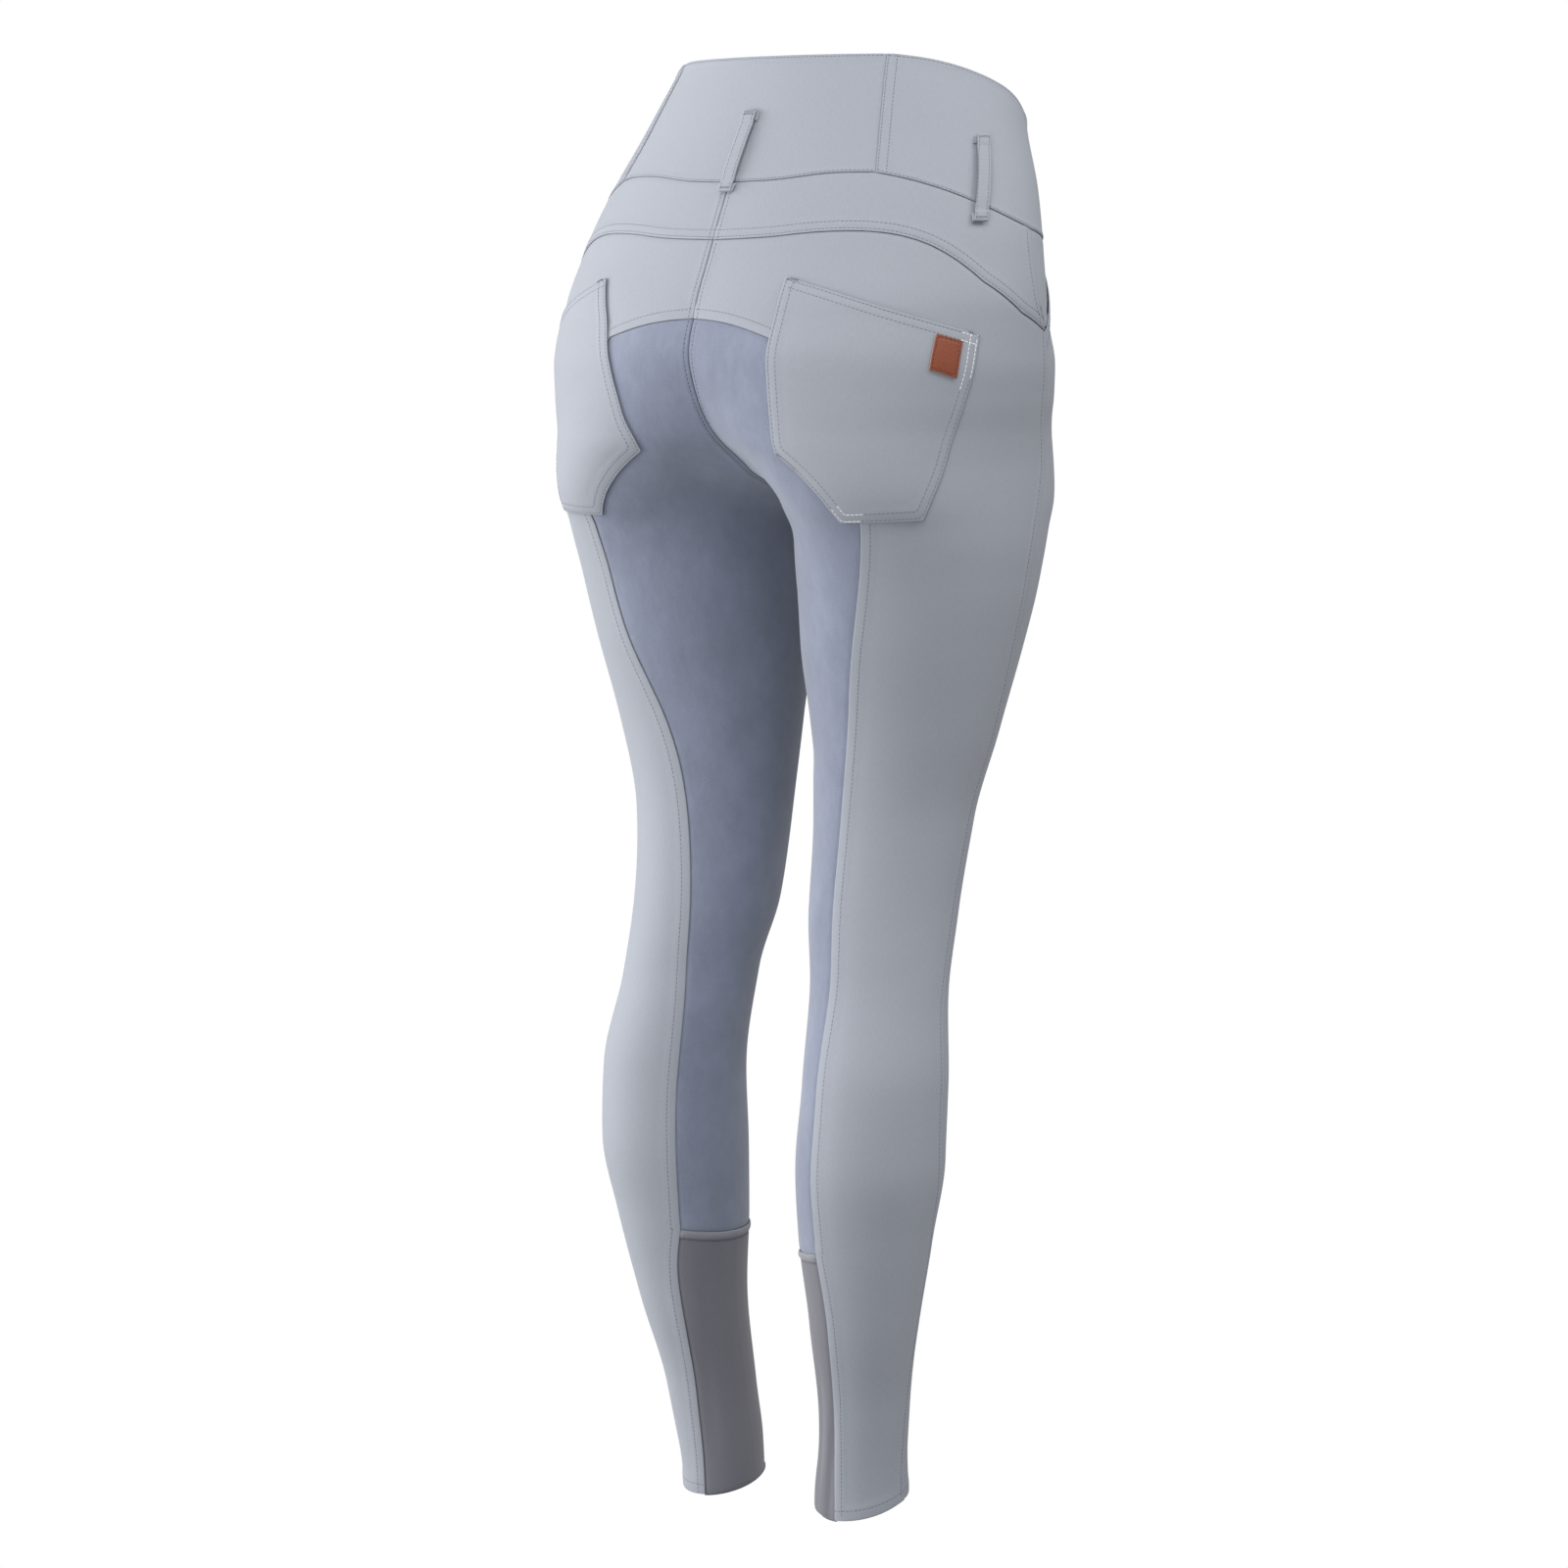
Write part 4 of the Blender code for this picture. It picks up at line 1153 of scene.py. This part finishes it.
# The grey of thread is painted shade: the stitches on the light cloth are darkened for the shadow
# in their holes and groove. The near white is the thread's pale colour brightened into a painted
# highlight where it catches the light. It also colours the tacks at the front pockets' mouths.
PLAIN = {"leather_raw_edge": ((0.55, 0.30, 0.17), 0.85), "button": ((0.09, 0.09, 0.10), 0.3),
         "thread": ((0.13, 0.138, 0.185), 0.6), "light_thread": ((0.88, 0.88, 0.90), 0.5),
         "dark_thread": ((0.045, 0.048, 0.085), 0.5),
         "leather_thread": ((0.045, 0.018, 0.014), 0.5)}
plain = {name: new_material(name, *look)[0] for name, look in PLAIN.items()}

# %% [markdown]
# ## Each piece gets its finish and its place in the frame

# %% Finish and ride
SLOT_OF = {"seat": "suede", "calf": "stretch_cloth", "label": "leather"}
FINISHES = {"light_cloth": light_cloth, "suede": suede, "stretch_cloth": stretch_cloth,
            "leather": leather}
THREAD_OF = {"seat": "dark_thread", "calf": "dark_thread", "label": "leather_thread"}
for name, sheet in sheets.items():
    slot_name = SLOT_OF.get(family(name), "light_cloth")
    sheet.piece.data.materials.append(FINISHES[slot_name])
    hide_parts(name)
    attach(sheet.piece, "root")
sheets["label"].piece.data.materials.append(plain["leather_raw_edge"])
sheets["label"].piece.modifiers["cloth"].material_offset_rim = 1
for piece in turned_ends.values():
    points = places_of(piece.data.vertices)
    add_uv(piece.data, np.column_stack([points[:, 0] - points[:, 1], points[:, 2]]))
    piece.data.materials.append(light_cloth)
    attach(piece, "root")
for name, piece in stitched.items():
    # Stitch meshes marked light get the near-white painted highlight. The other stitches on the
    # light cloth get the grey painted shade.
    thread = "light_thread" if "light" in name else THREAD_OF.get(family(name), "thread")
    piece.data.materials.append(plain[thread])
    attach(piece, "root")
for name in ("button_upper", "button_lower"):
    NODES[name].data.materials.clear()
    NODES[name].data.materials.append(plain["button"])

# %% [markdown]
# ## What lies on each piece
#
# Laid flat, each piece is a flat cut of cloth. Here the stitches, tacks and turned ends on each
# piece are only gathered; nothing is measured from them.


for name, sheet in sheets.items():
    on_it = [piece for key, piece in stitched.items()
             if key in (name, name + "_light", name + "_tacks")]
    if name in turned_ends:
        on_it.append(turned_ends[name])

# %% [markdown]
# ## Camera
#
# A long lens from behind the wearer's right, a little above the middle, so that the breeches
# show with little perspective.

# %% Camera
AZIMUTH = math.radians(217)
ELEVATION = math.radians(6)
DISTANCE = 3.08
LENS = 105.0
SENSOR = 36.0
IMAGE_SIZE = 1600
TARGET = Vector((0.0, 0.0, -0.487))
OFFSET = (68, 9)

scene = bpy.context.scene
camera_data = bpy.data.cameras.new("camera")
camera_data.lens = LENS
camera_data.sensor_width = SENSOR
camera = bpy.data.objects.new("camera", camera_data)
scene.collection.objects.link(camera)
back = Vector((math.sin(AZIMUTH) * math.cos(ELEVATION), -math.cos(AZIMUTH) * math.cos(ELEVATION),
               math.sin(ELEVATION)))
right = Vector((math.cos(AZIMUTH), math.sin(AZIMUTH), 0.0))
up = back.cross(right)
metres_per_pixel = DISTANCE / (LENS / SENSOR * IMAGE_SIZE)
place = (TARGET + back * DISTANCE - right * OFFSET[0] * metres_per_pixel
         + up * OFFSET[1] * metres_per_pixel)
camera.matrix_world = Matrix.Translation(place) @ Matrix((right, up, back)).transposed().to_4x4()
scene.camera = camera

# %% [markdown]
# ## Studio
#
# Soft light from broad lights on the viewer's left and, weaker, from the right and above, in a
# pale room. The floor looks white but throws little light back, as a floor further off would.

# %% Light and floor
ROOM_LIGHT = 0.30


def white_to_camera(tree, plain, white, output):
    """What the camera sees is white, while all other light meets the plain one."""
    path = add_node(tree, "ShaderNodeLightPath")
    mixed = add_node(tree, "ShaderNodeMixShader", {0: path.outputs["Is Camera Ray"],
                                                   1: plain.outputs[0], 2: white.outputs[0]})
    tree.links.new(mixed.outputs[0], tree.nodes[output].inputs["Surface"])


world = bpy.data.worlds.new("studio")
scene.world = world
world.use_nodes = True
tree = world.node_tree
room = tree.nodes["Background"]
room.inputs["Color"].default_value = (1.0, 1.0, 1.0, 1.0)
room.inputs["Strength"].default_value = ROOM_LIGHT
seen = add_node(tree, "ShaderNodeBackground", {"Color": (1.0, 1.0, 1.0, 1.0), "Strength": 1.0})
white_to_camera(tree, room, seen, "World Output")
scene.view_settings.view_transform = "Standard"


def soft_light(name, toward, power):
    """A square area light that faces the middle of the breeches."""
    data = bpy.data.lights.new(name, "AREA")
    data.size = LIGHT_SIZE
    data.energy = power
    light = bpy.data.objects.new(name, data)
    scene.collection.objects.link(light)
    direction = (toward[0] * right + toward[1] * up + toward[2] * back).normalized()
    light.location = TARGET + direction * LIGHT_DISTANCE
    light.rotation_euler = direction.to_track_quat("Z", "Y").to_euler()
    return light


LIGHT_DISTANCE = 3.0
LIGHT_SIZE = 1.6
FLOOR_SIZE = 40.0
FLOOR_GAP = 0.001
LIGHTS = {"left": ((-1.0, 0.0, 0.3), 50.0), "left_beyond": ((-1.0, 0.3, -0.3), 71.0),
          "right_high": ((0.8, 0.9, 0.3), 48.0), "above_viewer": ((0.0, 1.0, 0.8), 36.0),
          "viewer": ((-0.3, 0.1, 1.0), 27.0)}
for name, (toward, power) in LIGHTS.items():
    soft_light(name, toward, power)

floor_bm = bmesh.new()
bmesh.ops.create_grid(floor_bm, x_segments=1, y_segments=1, size=FLOOR_SIZE)
floor_mesh = mesh_of(floor_bm, "floor")
floor = show("floor", floor_mesh)
floor.location.z = cad_low.z - FLOOR_GAP
floor_material, tree, shader = new_material("floor", (0.35, 0.35, 0.35), 0.9)
white = add_node(tree, "ShaderNodeEmission", {"Color": (1.0, 1.0, 1.0, 1.0), "Strength": 1.0})
white_to_camera(tree, shader, white, "Material Output")
floor_mesh.materials.append(floor_material)
floor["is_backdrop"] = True

# %% [markdown]
# ## Size
#
# The cloth may stand a little proud of the CAD. This prints by how much, in mm, the whole has grown
# on each side.

# %% Print how much the whole has grown
low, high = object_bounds()
print("grown by, in mm", [round((cad_low[i] - low[i]) / MM, 1) for i in range(3)],
      [round((high[i] - cad_high[i]) / MM, 1) for i in range(3)])
